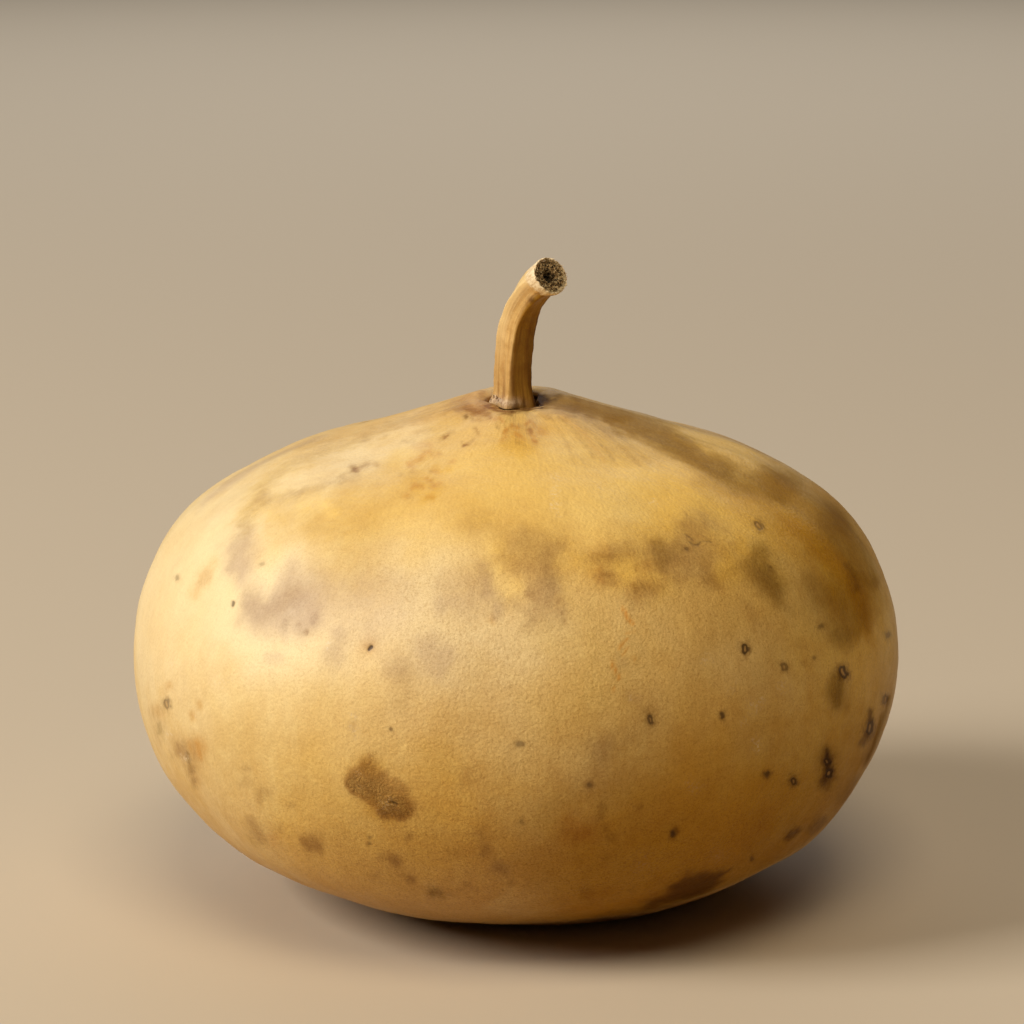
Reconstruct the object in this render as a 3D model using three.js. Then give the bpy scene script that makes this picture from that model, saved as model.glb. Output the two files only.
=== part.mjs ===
// A dried canteen gourd: a flat, round, neckless fruit with a hard rind, and the woody stem that it
// hung from. Millimetres, +Z up. The origin is on the small flat spot that the gourd rests on, and the
// side towards -Y is its front.

import * as THREE from 'three';
import { LoftGeometry } from 'three/addons/geometries/LoftGeometry.js';

const degree = Math.PI / 180;

// Driving dimensions of the fruit
const bellyRadius = 105;          // half of the widest width, left to right
const bellyHeight = 65;           // the widest level
const depthRatio = 0.976;         // front to back against left to right, at the belly
const restSpotRadius = 28;        // the flat spot
const crownHeight = 136.4;        // the lip of the seat that holds the stem's foot
const threeLobes = 0.006;         // broad unevenness of the belly, as shares of its radius
const threeLobesPeak = 30 * degree;
const fiveLobes = 0.004;
const baseShift = 5;              // the base is a little to the right of the belly's middle
const baseShiftReach = 5;
const baseSag = 1.2;              // and hangs lower on that side
const baseSagRadius = 50;
const baseSagReach = 20;
const shoulderRise = 0.5;         // the right shoulder is a little fuller than the left one
const shoulderRiseRadius = 45;
const shoulderRiseReach = 18;
const crownTilt = 0.7;            // the rim round the stem's foot is lower at the front
const crownTiltRadius = 14;
const crownTiltReach = 6;
const puckerCount = 7;            // shallow folds that gather towards the stem
const puckerDepth = 0.5;
const puckerRadius = 24;
const puckerReach = 10;

// Half of the fruit's upright outline, from the edge of the flat spot to the crown: radius, height
const rindOutline = [
  [restSpotRadius, 0],
  [38.5, 0.5],
  [48, 2.8],
  [68.7, 11.2],
  [87.5, 23.1],
  [100.1, 42],
  [bellyRadius, bellyHeight],
  [101.5, 86.5],
  [89.2, 106],
  [66, 120.6],
  [46.8, 126.8],
  [27, 132.8],
  [13.5, 136.7],
];

// Driving dimensions of the stem
const stemHeading = -54.2 * degree;   // it leans over towards the front right
const stemPlace = -0.8;               // its foot is a little to the left
const stemRadiusLow = 5.2;
const stemRadiusHigh = 4.6;
const stemTaperLength = 40;
const ribCount = 5;
const ribHeight = 0.32;
const ribAzimuth = -97.7 * degree;    // one rib faces the front
const ribTwist = 0.7 * degree;        // per millimetre of length
const footFlare = 1.7;                // how much wider the foot is than the shaft
const footFlareLength = 4.5;
const footShift = 0.4;                // the foot spreads further to the right
const footRibHeight = 0.35;           // the ribs stand out more at the foot, like roots

// The stem's middle line: how far it has leant over, and its height above the crown
const stemLine = [
  [0, -1.5],
  [0, 12],
  [1.8, 21.6],
  [5.7, 27.9],
  [10.9, 32.6],
  [16.8, 35.8],
];

// The seat in the crown, which is the foot's own outline made wider
const fitGap = 0.4;
const seatSlack = 0.45;           // the dark crease between the foot and the rind
const seatLipWidth = 1.3;
const seatLipDrop = 0.9;          // how far down the lip rounds over before the wall
const seatDome = 0.3;             // the seat's floor rises a little towards its middle

// The cut end: a bevelled rim round a sunken face with a hole where the pith was
const rimBevel = 0.35;
const rimWidth = 0.95;
const cutFaceDepth = 0.8;
const pithRadius = 1.5;
const pithFloorRadius = 1.1;
const pithDepth = 3;
const pithDome = 0.2;             // its floor rises a little towards its middle

// How finely the surfaces are divided
const rindColumns = 80;
const rindRows = 40;
const stemColumns = 40;
const stemRows = 26;
const stemRowSpread = 1.25;       // over 1, so that the rows are closer together at the foot

// A ring of points: pointAt gives the point for each azimuth, which turns anticlockwise from +X
function ring(columns, pointAt) {
  return Array.from({ length: columns }, (_, column) => pointAt((column / columns) * 2 * Math.PI));
}

// A smooth hump that is 1 where value equals centre and dies away over reach
function hump(value, centre, reach) {
  return Math.exp(-(((value - centre) / reach) ** 2));
}

// Distance from the stem's middle line to its surface, at a distance along the line from the foot
function stemRadius(azimuth, distance) {
  const taper = Math.min(1, distance / stemTaperLength);
  const shaft = THREE.MathUtils.lerp(stemRadiusLow, stemRadiusHigh, taper);
  const flare = hump(distance, 0, footFlareLength);
  const foot = flare * (footFlare + footShift * Math.cos(azimuth));
  const rib = Math.cos(ribCount * (azimuth - ribAzimuth - ribTwist * distance));
  return shaft + foot + (ribHeight + footRibHeight * flare) * rib;
}

// A point of the rind: the outline is swung round the axis, made oval and lobed at the belly, moved
// over and let down on one side at the base, and puckered and tilted at the crown
function rindPoint(azimuth, radius, height) {
  const fullness = (radius / bellyRadius) ** 2;
  const threefold = threeLobes * Math.cos(3 * (azimuth - threeLobesPeak));
  const fivefold = fiveLobes * Math.sin(5 * azimuth);
  const reach = radius * (1 + fullness * (threefold + fivefold));
  const depth = 1 - (1 - depthRatio) * fullness;
  const shift = baseShift * hump(height, 0, baseShiftReach);
  let lift = 0;
  if (height > bellyHeight) {
    lift += shoulderRise * Math.cos(azimuth) * hump(radius, shoulderRiseRadius, shoulderRiseReach);
    lift += crownTilt * Math.sin(azimuth) * hump(radius, crownTiltRadius, crownTiltReach);
    lift += puckerDepth * Math.cos(puckerCount * azimuth) * hump(radius, puckerRadius, puckerReach);
  } else {
    const beyondSpot = 1 - (restSpotRadius / radius) ** 2;
    lift -= baseSag * beyondSpot * Math.cos(azimuth) * hump(radius, baseSagRadius, baseSagReach);
  }
  return new THREE.Vector3(
    shift + reach * Math.cos(azimuth),
    depth * reach * Math.sin(azimuth),
    Math.max(0, height + lift),
  );
}

// The fruit: rings from the flat spot up the outline, over the lip and down into the seat
function makeRind() {
  const outline = new THREE.SplineCurve(
    rindOutline.map(([radius, height]) => new THREE.Vector2(radius, height)),
  );
  const sections = outline.getPoints(rindRows).map(
    ({ x: radius, y: height }) => ring(rindColumns, (azimuth) => rindPoint(azimuth, radius, height)),
  );
  const seatFloor = crownHeight + stemLine[0][1] - fitGap;
  const seatRings = [
    [seatSlack + seatLipWidth, crownHeight],
    [seatSlack + seatLipWidth / 3, crownHeight - seatLipDrop / 3],
    [seatSlack, crownHeight - seatLipDrop],
    [seatSlack, seatFloor - seatDome],
    [-stemRadiusLow / 2, seatFloor],
  ];
  for (const [slack, height] of seatRings) {
    sections.push(ring(rindColumns, (azimuth) => {
      const point = rindPoint(azimuth, stemRadius(azimuth, 0) + slack, height);
      point.x += stemPlace;
      return point;
    }));
  }
  return new LoftGeometry(sections, { capStart: true, capEnd: true });
}

// The stem: ribbed rings along its middle line, then the rim, the sunken face and the pith hole
function makeStem() {
  const heading = new THREE.Vector3(Math.cos(stemHeading), Math.sin(stemHeading), 0);
  const up = new THREE.Vector3(0, 0, 1);
  const side = new THREE.Vector3().crossVectors(up, heading);
  const line = new THREE.CatmullRomCurve3(stemLine.map(
    ([lean, height]) => new THREE.Vector3(stemPlace, 0, crownHeight + height).addScaledVector(heading, lean),
  ));
  const length = line.getLength();

  // One ring square to the middle line, moved along it by offset, with radiusAt for each azimuth
  function stemRing(share, offset, radiusAt) {
    const tangent = line.getTangentAt(share);
    const outward = new THREE.Vector3().crossVectors(side, tangent);
    const middle = line.getPointAt(share).addScaledVector(tangent, offset);
    return ring(stemColumns, (azimuth) => {
      const turn = azimuth - stemHeading;
      const radius = radiusAt(azimuth);
      return middle.clone()
        .addScaledVector(outward, radius * Math.cos(turn))
        .addScaledVector(side, radius * Math.sin(turn));
    });
  }

  const sections = [];
  for (let row = 0; row <= stemRows; row += 1) {
    const share = (row / stemRows) ** stemRowSpread;
    sections.push(stemRing(share, 0, (azimuth) => stemRadius(azimuth, share * length)));
  }
  const endRadius = (azimuth) => stemRadius(azimuth, length);
  sections.push(stemRing(1, rimBevel, (azimuth) => endRadius(azimuth) - rimBevel));
  sections.push(stemRing(1, rimBevel * 0.8, (azimuth) => endRadius(azimuth) - rimWidth));
  sections.push(stemRing(1, -cutFaceDepth, (azimuth) => endRadius(azimuth) - rimWidth - rimBevel));
  sections.push(stemRing(1, -cutFaceDepth, () => pithRadius));
  sections.push(stemRing(1, -pithDepth, () => pithFloorRadius));
  sections.push(stemRing(1, pithDome - pithDepth, () => pithFloorRadius / 2));
  return new LoftGeometry(sections, { capStart: true, capEnd: true });
}

const rindMaterial = new THREE.MeshStandardMaterial({ color: 0xd9b36c, roughness: 0.5, metalness: 0 });
const stemMaterial = new THREE.MeshStandardMaterial({ color: 0xa98a5c, roughness: 0.75, metalness: 0 });

const rind = new THREE.Mesh(makeRind(), rindMaterial);
rind.name = 'gourd';

const stem = new THREE.Mesh(makeStem(), stemMaterial);
stem.name = 'stem';

const group = new THREE.Group();
group.add(rind, stem);

export default group;
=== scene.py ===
import math

import bmesh
import bpy
import numpy as np
from mathutils import Matrix, Vector
from mathutils.bvhtree import BVHTree


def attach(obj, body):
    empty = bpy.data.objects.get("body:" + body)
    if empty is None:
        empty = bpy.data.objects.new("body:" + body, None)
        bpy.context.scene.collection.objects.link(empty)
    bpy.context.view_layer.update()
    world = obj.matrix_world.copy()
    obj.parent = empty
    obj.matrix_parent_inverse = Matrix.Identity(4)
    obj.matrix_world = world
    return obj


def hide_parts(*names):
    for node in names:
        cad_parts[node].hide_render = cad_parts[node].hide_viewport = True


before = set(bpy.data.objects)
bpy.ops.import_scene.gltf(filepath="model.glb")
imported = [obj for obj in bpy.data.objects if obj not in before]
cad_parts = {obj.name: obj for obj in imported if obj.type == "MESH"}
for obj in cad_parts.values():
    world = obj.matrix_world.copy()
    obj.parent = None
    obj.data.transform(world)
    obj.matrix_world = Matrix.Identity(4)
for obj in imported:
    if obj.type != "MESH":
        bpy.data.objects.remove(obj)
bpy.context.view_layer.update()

# A dried canteen gourd: its rind, its stem with a cut end, and the small ragged pieces round them.
# Shapes are worked out in millimetres, with +Z up and the front towards -Y, and put into the meshes
# in metres.
mm = 0.001
degree = math.pi / 180


# Camera

viewpoint = {
    "aim": (0.0, 0.0, 66.0),        # the point that the camera was set by
    "elevation": 14.0,              # degrees above the horizon
    "distance": 950.0,              # from that point
    "focalPixels": 3444.7,          # focal length in pixels of the picture
    "aimPixel": (516.3, 651.5),     # where that point falls in the picture
    "pictureWidth": 1024.0,
}


def cameraAxes(settings):
    # the level view of the aim is turned until the aim falls on its pixel: the middle of the picture
    # lies in the direction ahead * focal + right * dx - up * dy
    tilt = settings["elevation"] * degree
    ahead = np.array([0.0, math.cos(tilt), -math.sin(tilt)])
    right = np.array([1.0, 0.0, 0.0])
    up = np.cross(right, ahead)
    eye = np.array(settings["aim"]) - settings["distance"] * ahead
    middle = settings["pictureWidth"] / 2
    dx = middle - settings["aimPixel"][0]
    dy = middle - settings["aimPixel"][1]
    ahead = ahead * settings["focalPixels"] + right * dx - up * dy
    ahead /= np.linalg.norm(ahead)
    right = np.cross(ahead, [0.0, 0.0, 1.0])
    right /= np.linalg.norm(right)
    return eye, ahead, right, np.cross(right, ahead)


eye, ahead, right, up = cameraAxes(viewpoint)


def makeCamera(settings):
    data = bpy.data.cameras.new("camera")
    data.sensor_width = 36.0
    data.lens = settings["focalPixels"] / settings["pictureWidth"] * data.sensor_width
    data.clip_start = 0.05
    data.clip_end = 60.0
    camera = bpy.data.objects.new("camera", data)
    turn = Matrix(np.column_stack([right, up, -ahead]).tolist()).to_4x4()
    camera.matrix_world = Matrix.Translation(Vector((eye * mm).tolist())) @ turn
    bpy.context.scene.collection.objects.link(camera)
    bpy.context.scene.camera = camera


def pixelDirections(pixels):
    # the direction from the eye through each pixel of the picture
    middle = viewpoint["pictureWidth"] / 2
    x = pixels[:, :1] - middle
    y = pixels[:, 1:2] - middle
    return ahead * viewpoint["focalPixels"] + right * x - up * y


def pixelsOf(points):
    # where points in millimetres fall in the picture
    offset = points - eye
    scale = viewpoint["focalPixels"] / (offset @ ahead)
    middle = viewpoint["pictureWidth"] / 2
    return np.column_stack([middle + offset @ right * scale, middle - offset @ up * scale])


makeCamera(viewpoint)
print("camera placed")


# Helpers for shapes

def smoothStep(low, high, value):
    # 0 up to low, 1 from high on, and 3t^2 - 2t^3 between them
    t = np.clip((value - low) / (high - low), 0.0, 1.0)
    return t * t * (3 - 2 * t)


def hump(value, centre, reach):
    # 1 where value equals centre, dying away as e to the minus ((value - centre) / reach) squared
    return np.exp(-(((value - centre) / reach) ** 2))


def waveNoise(points, size, seed, waves=26):
    # the sum of plane waves in random directions, with wavelengths round size; about -1 to 1
    random = np.random.default_rng(seed)
    aim = random.normal(size=(waves, points.shape[1]))
    aim /= np.linalg.norm(aim, axis=1)[:, None]
    lengths = size * random.uniform(0.7, 1.5, waves)
    phases = random.uniform(0, 2 * math.pi, waves)
    total = np.zeros(len(points))
    for direction, length, phase in zip(aim, lengths, phases):
        total += np.cos(points @ direction * (2 * math.pi / length) + phase)
    return total / math.sqrt(waves / 2) * 0.6


def splineAt(rows, places):
    # a smooth curve through the rows, its end rows doubled; places run from 0 to 1 over all rows
    rows = np.asarray(rows, float)
    last = len(rows) - 1
    position = np.clip(places, 0, 1) * last
    start = np.minimum(position.astype(int), last - 1)
    t = (position - start)[:, None]
    before, a = rows[np.maximum(start - 1, 0)], rows[start]
    b, after = rows[start + 1], rows[np.minimum(start + 2, last)]
    leave, arrive = (b - before) / 2, (after - a) / 2
    cubic = (2 * a - 2 * b + leave + arrive) * t**3
    square = (-3 * a + 3 * b - 2 * leave - arrive) * t**2
    return cubic + square + leave * t + a


def dressMesh(name, mesh, attributes, material):
    # a mesh becomes a piece; attributes are one number or one vector for each point
    mesh.polygons.foreach_set("use_smooth", np.ones(len(mesh.polygons), bool))
    for key, values in attributes.items():
        kind = "FLOAT" if values.ndim == 1 else "FLOAT_VECTOR"
        field = "value" if values.ndim == 1 else "vector"
        mesh.attributes.new(key, kind, "POINT").data.foreach_set(field, values.astype(np.float32).ravel())
    mesh.materials.append(material)
    mesh.update()
    piece = bpy.data.objects.new(name, mesh)
    bpy.context.scene.collection.objects.link(piece)
    return piece


def putMesh(name, points, faces, attributes, material):
    # points in millimetres
    mesh = bpy.data.meshes.new(name)
    mesh.from_pydata((points * mm).tolist(), [], faces)
    return dressMesh(name, mesh, attributes, material)


def gridFaces(rows, columns, offset=0):
    # quads of a tube whose rings follow each other, facing outwards when it is swept upwards
    row, column = np.meshgrid(np.arange(rows - 1), np.arange(columns), indexing="ij")
    following = (column + 1) % columns
    corners = [row * columns + column, row * columns + following,
               (row + 1) * columns + following, (row + 1) * columns + column]
    return (np.stack(corners, axis=-1).reshape(-1, 4) + offset).tolist()


def fanFaces(first, columns, pole, atStart):
    # triangles from a ring to a pole
    column = np.arange(columns)
    following = (column + 1) % columns
    pair = (following, column) if atStart else (column, following)
    return np.column_stack([pair[0] + first, pair[1] + first, np.full(columns, pole)]).tolist()


# Helpers for materials

def tone(red, green, blue):
    # a colour given as it looks on a screen, 0 to 255, as linear values
    shares = np.array([red, green, blue]) / 255
    linear = np.where(shares <= 0.04045, shares / 12.92, ((shares + 0.055) / 1.055) ** 2.4)
    return (*linear.tolist(), 1.0)


def addNode(tree, kind, inputs=None, **settings):
    # inputs are values or sockets to link from
    made = tree.nodes.new(kind)
    for key, value in settings.items():
        setattr(made, key, value)
    for key, value in (inputs or {}).items():
        if isinstance(value, bpy.types.NodeSocket):
            tree.links.new(value, made.inputs[key])
        else:
            made.inputs[key].default_value = value
    return made


def maths(tree, operation, *values, clamp=False):
    made = addNode(tree, "ShaderNodeMath", dict(enumerate(values)), operation=operation, use_clamp=clamp)
    return made.outputs[0]


def blend(tree, share, first, second, mode="MIX"):
    made = addNode(tree, "ShaderNodeMix", {0: share, 6: first, 7: second}, data_type="RGBA",
                   blend_type=mode)
    return made.outputs[2]


def remap(tree, value, low, high, toLow=0.0, toHigh=1.0):
    made = addNode(tree, "ShaderNodeMapRange", {0: value, 1: low, 2: high, 3: toLow, 4: toHigh},
                   interpolation_type="SMOOTHSTEP")
    return made.outputs[0]


def startMaterial(name):
    # a material, its nodes, its shader, and the place on the piece in millimetres
    material = bpy.data.materials.new(name)
    material.use_nodes = True
    tree = material.node_tree
    metres = addNode(tree, "ShaderNodeTexCoord").outputs["Object"]
    place = addNode(tree, "ShaderNodeVectorMath", {0: metres, "Scale": 1 / mm}, operation="SCALE").outputs[0]
    return material, tree, tree.nodes["Principled BSDF"], place


def readField(tree, name):
    return addNode(tree, "ShaderNodeAttribute", attribute_name=name).outputs["Fac"]


def noise(tree, place, scale, detail=3.0, roughness=0.5, distortion=0.0):
    inputs = {"Vector": place, "Scale": scale, "Detail": detail, "Roughness": roughness,
              "Distortion": distortion}
    return addNode(tree, "ShaderNodeTexNoise", inputs).outputs["Fac"]


def mottle(tree, place, scale, detail, roughness, low, high, distortion=0.0):
    # noise of one scale, made 0 up to low and 1 from high on
    return remap(tree, noise(tree, place, scale, detail, roughness, distortion), low, high)


def product(tree, *values):
    total = values[0]
    for value in values[1:]:
        total = maths(tree, "MULTIPLY", total, value)
    return total


def stretch(tree, place, x, y, z):
    made = addNode(tree, "ShaderNodeVectorMath", {0: place, 1: (x, y, z)}, operation="MULTIPLY")
    return made.outputs[0]


def newGroup(name, inputs, outputs):
    group = bpy.data.node_groups.new(name, "ShaderNodeTree")
    for label, kind, value in inputs:
        socket = group.interface.new_socket(label, in_out="INPUT", socket_type=kind)
        if value is not None:
            socket.default_value = value
    for label, kind in outputs:
        group.interface.new_socket(label, in_out="OUTPUT", socket_type=kind)
    return group, group.nodes.new("NodeGroupInput"), group.nodes.new("NodeGroupOutput")


def patchyMask():
    # noise of two sizes takes away part of a soft field where the field is weak, which breaks its edges:
    # mask = field * (1 - patchiness * noise * (1.15 - field))
    group, given, result = newGroup(
        "patchyMask",
        [("Place", "NodeSocketVector", None), ("Field", "NodeSocketFloat", 0.0),
         ("Scale", "NodeSocketFloat", 0.3), ("Patchiness", "NodeSocketFloat", 0.5)],
        [("Mask", "NodeSocketFloat")],
    )
    place, field, scale = (given.outputs[name] for name in ("Place", "Field", "Scale"))
    coarse = remap(group, noise(group, place, scale, 4.0, 0.55, 0.4), 0.36, 0.64)
    fine = remap(group, noise(group, place, maths(group, "MULTIPLY", scale, 3.2), 4.0, 0.62), 0.40, 0.60)
    both = maths(group, "ADD", maths(group, "MULTIPLY", coarse, 0.5), maths(group, "MULTIPLY", fine, 0.5))
    weak = maths(group, "SUBTRACT", 1.15, field)
    taken = maths(group, "MULTIPLY", maths(group, "MULTIPLY", both, weak), given.outputs["Patchiness"])
    mask = maths(group, "MULTIPLY", field, maths(group, "SUBTRACT", 1.0, taken), clamp=True)
    group.links.new(mask, result.inputs["Mask"])
    return group


def fibreGrain():
    # fine fibres that run along the third coordinate, and the soft pores between them
    group, given, result = newGroup(
        "fibreGrain",
        [("Place", "NodeSocketVector", None), ("Fibre", "NodeSocketFloat", 1.0),
         ("Slant", "NodeSocketFloat", 0.12)],
        [("Streaks", "NodeSocketFloat"), ("Height", "NodeSocketFloat")],
    )
    shorter = addNode(group, "ShaderNodeCombineXYZ", {0: 1.0, 1: 1.0, 2: given.outputs["Slant"]})
    along = addNode(group, "ShaderNodeVectorMath", {0: given.outputs["Place"], 1: shorter.outputs[0]},
                    operation="MULTIPLY").outputs[0]
    streaks = noise(group, along, given.outputs["Fibre"], 4.0, 0.6, 0.3)
    half = maths(group, "MULTIPLY", given.outputs["Fibre"], 0.33)
    broad = noise(group, along, half, 2.0, 0.5, 0.2)
    both = maths(group, "ADD", maths(group, "MULTIPLY", streaks, 0.6), maths(group, "MULTIPLY", broad, 0.4))
    group.links.new(remap(group, both, 0.3, 0.7), result.inputs["Streaks"])
    group.links.new(both, result.inputs["Height"])
    return group


patchyGroup = patchyMask()
fibreGroup = fibreGrain()


def fibresOn(tree, grain, fibre, slant):
    # streaks and height of fibres of one fineness
    inputs = {"Place": grain, "Fibre": fibre, "Slant": slant}
    return addNode(tree, "ShaderNodeGroup", inputs, node_tree=fibreGroup).outputs


def patchyField(tree, place, field, scale, patchiness):
    inputs = {"Place": place, "Field": field, "Scale": scale, "Patchiness": patchiness}
    return addNode(tree, "ShaderNodeGroup", inputs, node_tree=patchyGroup).outputs["Mask"]


# Stem values

stem = {
    "heading": -54.2,           # degrees; it leans over towards the front right
    "place": -0.8,              # its foot is a little to the left
    "radiusLow": 4.8,
    "radiusHigh": 4.3,
    "taperLength": 40.0,
    "ribs": 5,
    "ribHeight": 0.14,
    "facetHeight": 0.32,        # the ribs are the corners of a five-sided stalk
    "ribAzimuth": -106.0,
    "ribTwist": 0.7,            # degrees per millimetre
    "footFlare": 1.3,
    "footFlareLength": 2.8,
    "footShift": 0.4,
    "footRibHeight": 0.35,
    "fullSide": 0.55,           # it is thicker on the right, up to the bend
    "line": [[0, -1.5], [0, 12], [1.8, 21.6], [5.7, 27.9], [10.9, 32.6], [16.8, 35.8]],
    "columns": 160,
    "rows": 230,
    "fineRidge": 0.045,         # height of the fine ridges between the ribs
    "fineRidgeWidth": 1.7,
}


def stemRadius(azimuth, distance):
    # the shaft tapers evenly, is fuller on one side, and its foot flares out; five ribs turn slowly round
    # it: a cosine, plus a five-sided outline, cos(36 degrees) / cos(angle from the middle of a side)
    taper = np.minimum(1, distance / stem["taperLength"])
    shaft = stem["radiusLow"] + (stem["radiusHigh"] - stem["radiusLow"]) * taper
    flare = hump(distance, 0, stem["footFlareLength"])
    foot = flare * (stem["footFlare"] + stem["footShift"] * np.cos(azimuth))
    turned = azimuth - stem["ribAzimuth"] * degree - stem["ribTwist"] * degree * distance
    rib = np.cos(stem["ribs"] * turned)
    sector = 2 * math.pi / stem["ribs"]
    fromSide = np.mod(turned, sector) - sector / 2
    facet = (math.cos(sector / 2) / np.cos(fromSide) - 0.9) / 0.09
    ribs = (stem["ribHeight"] + stem["footRibHeight"] * flare) * rib + stem["facetHeight"] * facet
    fuller = (0.5 + 0.5 * np.cos(azimuth)) * smoothStep(32, 23, distance) * (1 - flare)
    return shaft + foot + ribs + stem["fullSide"] * fuller


# Rind shape

rind = {
    "bellyRadius": 105.0,
    "bellyHeight": 65.0,
    "depthRatio": 0.976,
    "restSpotRadius": 28.0,
    "crownHeight": 136.4,
    "threeLobes": 0.006,
    "threeLobesPeak": 30.0,
    "fiveLobes": 0.004,
    "baseShift": 5.0,
    "baseShiftReach": 5.0,
    "baseSag": 1.2,
    "baseSagRadius": 50.0,
    "baseSagReach": 20.0,
    "shoulderRise": 0.5,
    "shoulderRiseRadius": 45.0,
    "shoulderRiseReach": 18.0,
    "crownTilt": 1.7,
    "crownTiltRadius": 10.5,
    "crownTiltReach": 7.5,
    "puckers": 7,
    "puckerDepth": 0.5,
    "puckerRadius": 24.0,
    "puckerReach": 10.0,
    "columns": 300,
    "frontDensity": 2.5,        # how much closer the columns are at the front
    # radius, share of the stem foot's own radius that is added, share of the stem's place, height
    "profile": [
        [0, 0, 0, 0], [14, 0, 0, 0],
        [28, 0, 0, 0], [38.5, 0, 0, 0.5], [48, 0, 0, 2.8], [68.7, 0, 0, 11.2], [87.5, 0, 0, 23.1],
        [100.1, 0, 0, 42], [105, 0, 0, 65], [101.5, 0, 0, 86.5], [89.2, 0, 0, 106],
        [66, 0, 0, 120.6], [46.8, 0, 0, 126.8], [27, 0, 0, 132.8], [13.5, 0, 0, 136.7],
        [1.75, 1, 1, 136.4], [0.883, 1, 1, 136.1], [0.45, 1, 1, 135.5], [0.45, 1, 1, 134.3],
        [-2.6, 1, 1, 134.5], [0, 0, 1, 134.5],
    ],
    "crease": (14.7, 15.3),     # rows of the profile between which the painted shade in the crease round the foot begins
    # how far apart the rows of the mesh are, for parts of the profile counted by its rows
    "rowSpacing": [[0, 3.1], [3, 2.4], [4.5, 1.8], [6, 1.5], [12, 1.5], [13, 1.1], [13.8, 0.72],
                   [15, 0.42], [20, 0.54]],
}


def rindSurface(azimuth, place):
    # the profile is swung round the axis, made oval and lobed at the belly, moved over and let down on
    # one side at the base, and puckered and tilted at the crown
    radius, footShare, placeShare, height = splineAt(rind["profile"], place).T
    radius = radius + footShare * stemRadius(azimuth, 0.0)
    belly = rind["bellyRadius"]
    fullness = (radius / belly) ** 2
    threefold = rind["threeLobes"] * np.cos(3 * (azimuth - rind["threeLobesPeak"] * degree))
    fivefold = rind["fiveLobes"] * np.sin(5 * azimuth)
    reach = radius * (1 + fullness * (threefold + fivefold))
    depth = 1 - (1 - rind["depthRatio"]) * fullness
    shift = rind["baseShift"] * hump(height, 0, rind["baseShiftReach"]) + placeShare * stem["place"]
    rise = rind["shoulderRise"] * np.cos(azimuth)
    rise = rise * hump(radius, rind["shoulderRiseRadius"], rind["shoulderRiseReach"])
    tilt = rind["crownTilt"] * np.sin(azimuth)
    tilt = tilt * hump(radius, rind["crownTiltRadius"], rind["crownTiltReach"])
    pucker = rind["puckerDepth"] * np.cos(rind["puckers"] * azimuth)
    pucker = pucker * hump(radius, rind["puckerRadius"], rind["puckerReach"])
    beyondSpot = 1 - (rind["restSpotRadius"] / np.maximum(radius, rind["restSpotRadius"])) ** 2
    sag = -rind["baseSag"] * beyondSpot * np.cos(azimuth)
    sag = sag * hump(radius, rind["baseSagRadius"], rind["baseSagReach"])
    lift = np.where(height > rind["bellyHeight"], rise + tilt + pucker, sag)
    return np.column_stack([
        shift + reach * np.cos(azimuth),
        depth * reach * np.sin(azimuth),
        np.maximum(0, height + lift),
    ])


def profilePlaces():
    # rows of the mesh along the profile, packed as closely as rowSpacing asks
    fine = np.linspace(0, 1, 8001)
    outline = rindSurface(np.zeros_like(fine), fine)
    steps = np.linalg.norm(np.diff(outline, axis=0), axis=1)
    counted = (fine[1:] + fine[:-1]) / 2 * (len(rind["profile"]) - 1)
    spacing = np.interp(counted, *np.array(rind["rowSpacing"]).T)
    travelled = np.concatenate([[0], np.cumsum(steps / spacing)])
    rows = int(round(travelled[-1]))
    return np.interp(np.linspace(0, travelled[-1], rows + 1), travelled, fine)


def meridianLength():
    # distance along the profile from the middle of the flat spot, for each place
    fine = np.linspace(0, 1, 2001)
    outline = rindSurface(np.zeros_like(fine), fine)
    steps = np.linalg.norm(np.diff(outline, axis=0), axis=1)
    return fine, np.concatenate([[0], np.cumsum(steps)])


def startRind():
    # a mesh whose points hold (cos azimuth, sin azimuth, place), closed by a pole at each end
    places = profilePlaces()
    columns = rind["columns"]
    around = np.linspace(0, 2 * math.pi, 4001)
    density = 1 + (rind["frontDensity"] - 1) * smoothStep(-0.35, 0.25, -np.sin(around))
    travelled = np.concatenate([[0], np.cumsum((density[1:] + density[:-1]) / 2)])
    azimuths = np.interp(np.arange(columns) / columns * travelled[-1], travelled, around)
    inner = places[1:-1]
    turn, place = np.meshgrid(azimuths, inner)
    ring = np.column_stack([np.cos(turn).ravel(), np.sin(turn).ravel(), place.ravel()])
    points = np.vstack([ring, [[0, 0, 0.0], [0, 0, 1.0]]])
    count = len(ring)
    faces = gridFaces(len(inner), columns)
    faces += fanFaces(0, columns, count, True)
    faces += fanFaces(count - columns, columns, count + 1, False)
    return points, faces


rindPoints, rindFaces = startRind()


def placed(cylinder):
    azimuth = np.arctan2(cylinder[:, 1], cylinder[:, 0])
    return rindSurface(azimuth, cylinder[:, 2])


def facingEye(cylinder):
    # how squarely the rind faces the eye, 1 at most, from the cross product of its two slopes
    azimuth = np.arctan2(cylinder[:, 1], cylinder[:, 0])
    place = np.clip(cylinder[:, 2], 0.002, 0.998)
    along = rindSurface(azimuth, place + 0.001) - rindSurface(azimuth, place - 0.001)
    around = rindSurface(azimuth + 0.01, place) - rindSurface(azimuth - 0.01, place)
    normal = np.cross(around, along)
    toEye = eye - rindSurface(azimuth, place)
    lengths = np.linalg.norm(normal, axis=1) * np.linalg.norm(toEye, axis=1)
    return np.einsum("ij,ij->i", normal, toEye) / np.maximum(lengths, 1e-9)


plainRind = placed(rindPoints)
rindTree = BVHTree.FromPolygons(plainRind.tolist(), rindFaces)
print("rind started with", len(rindFaces), "faces")
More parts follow.
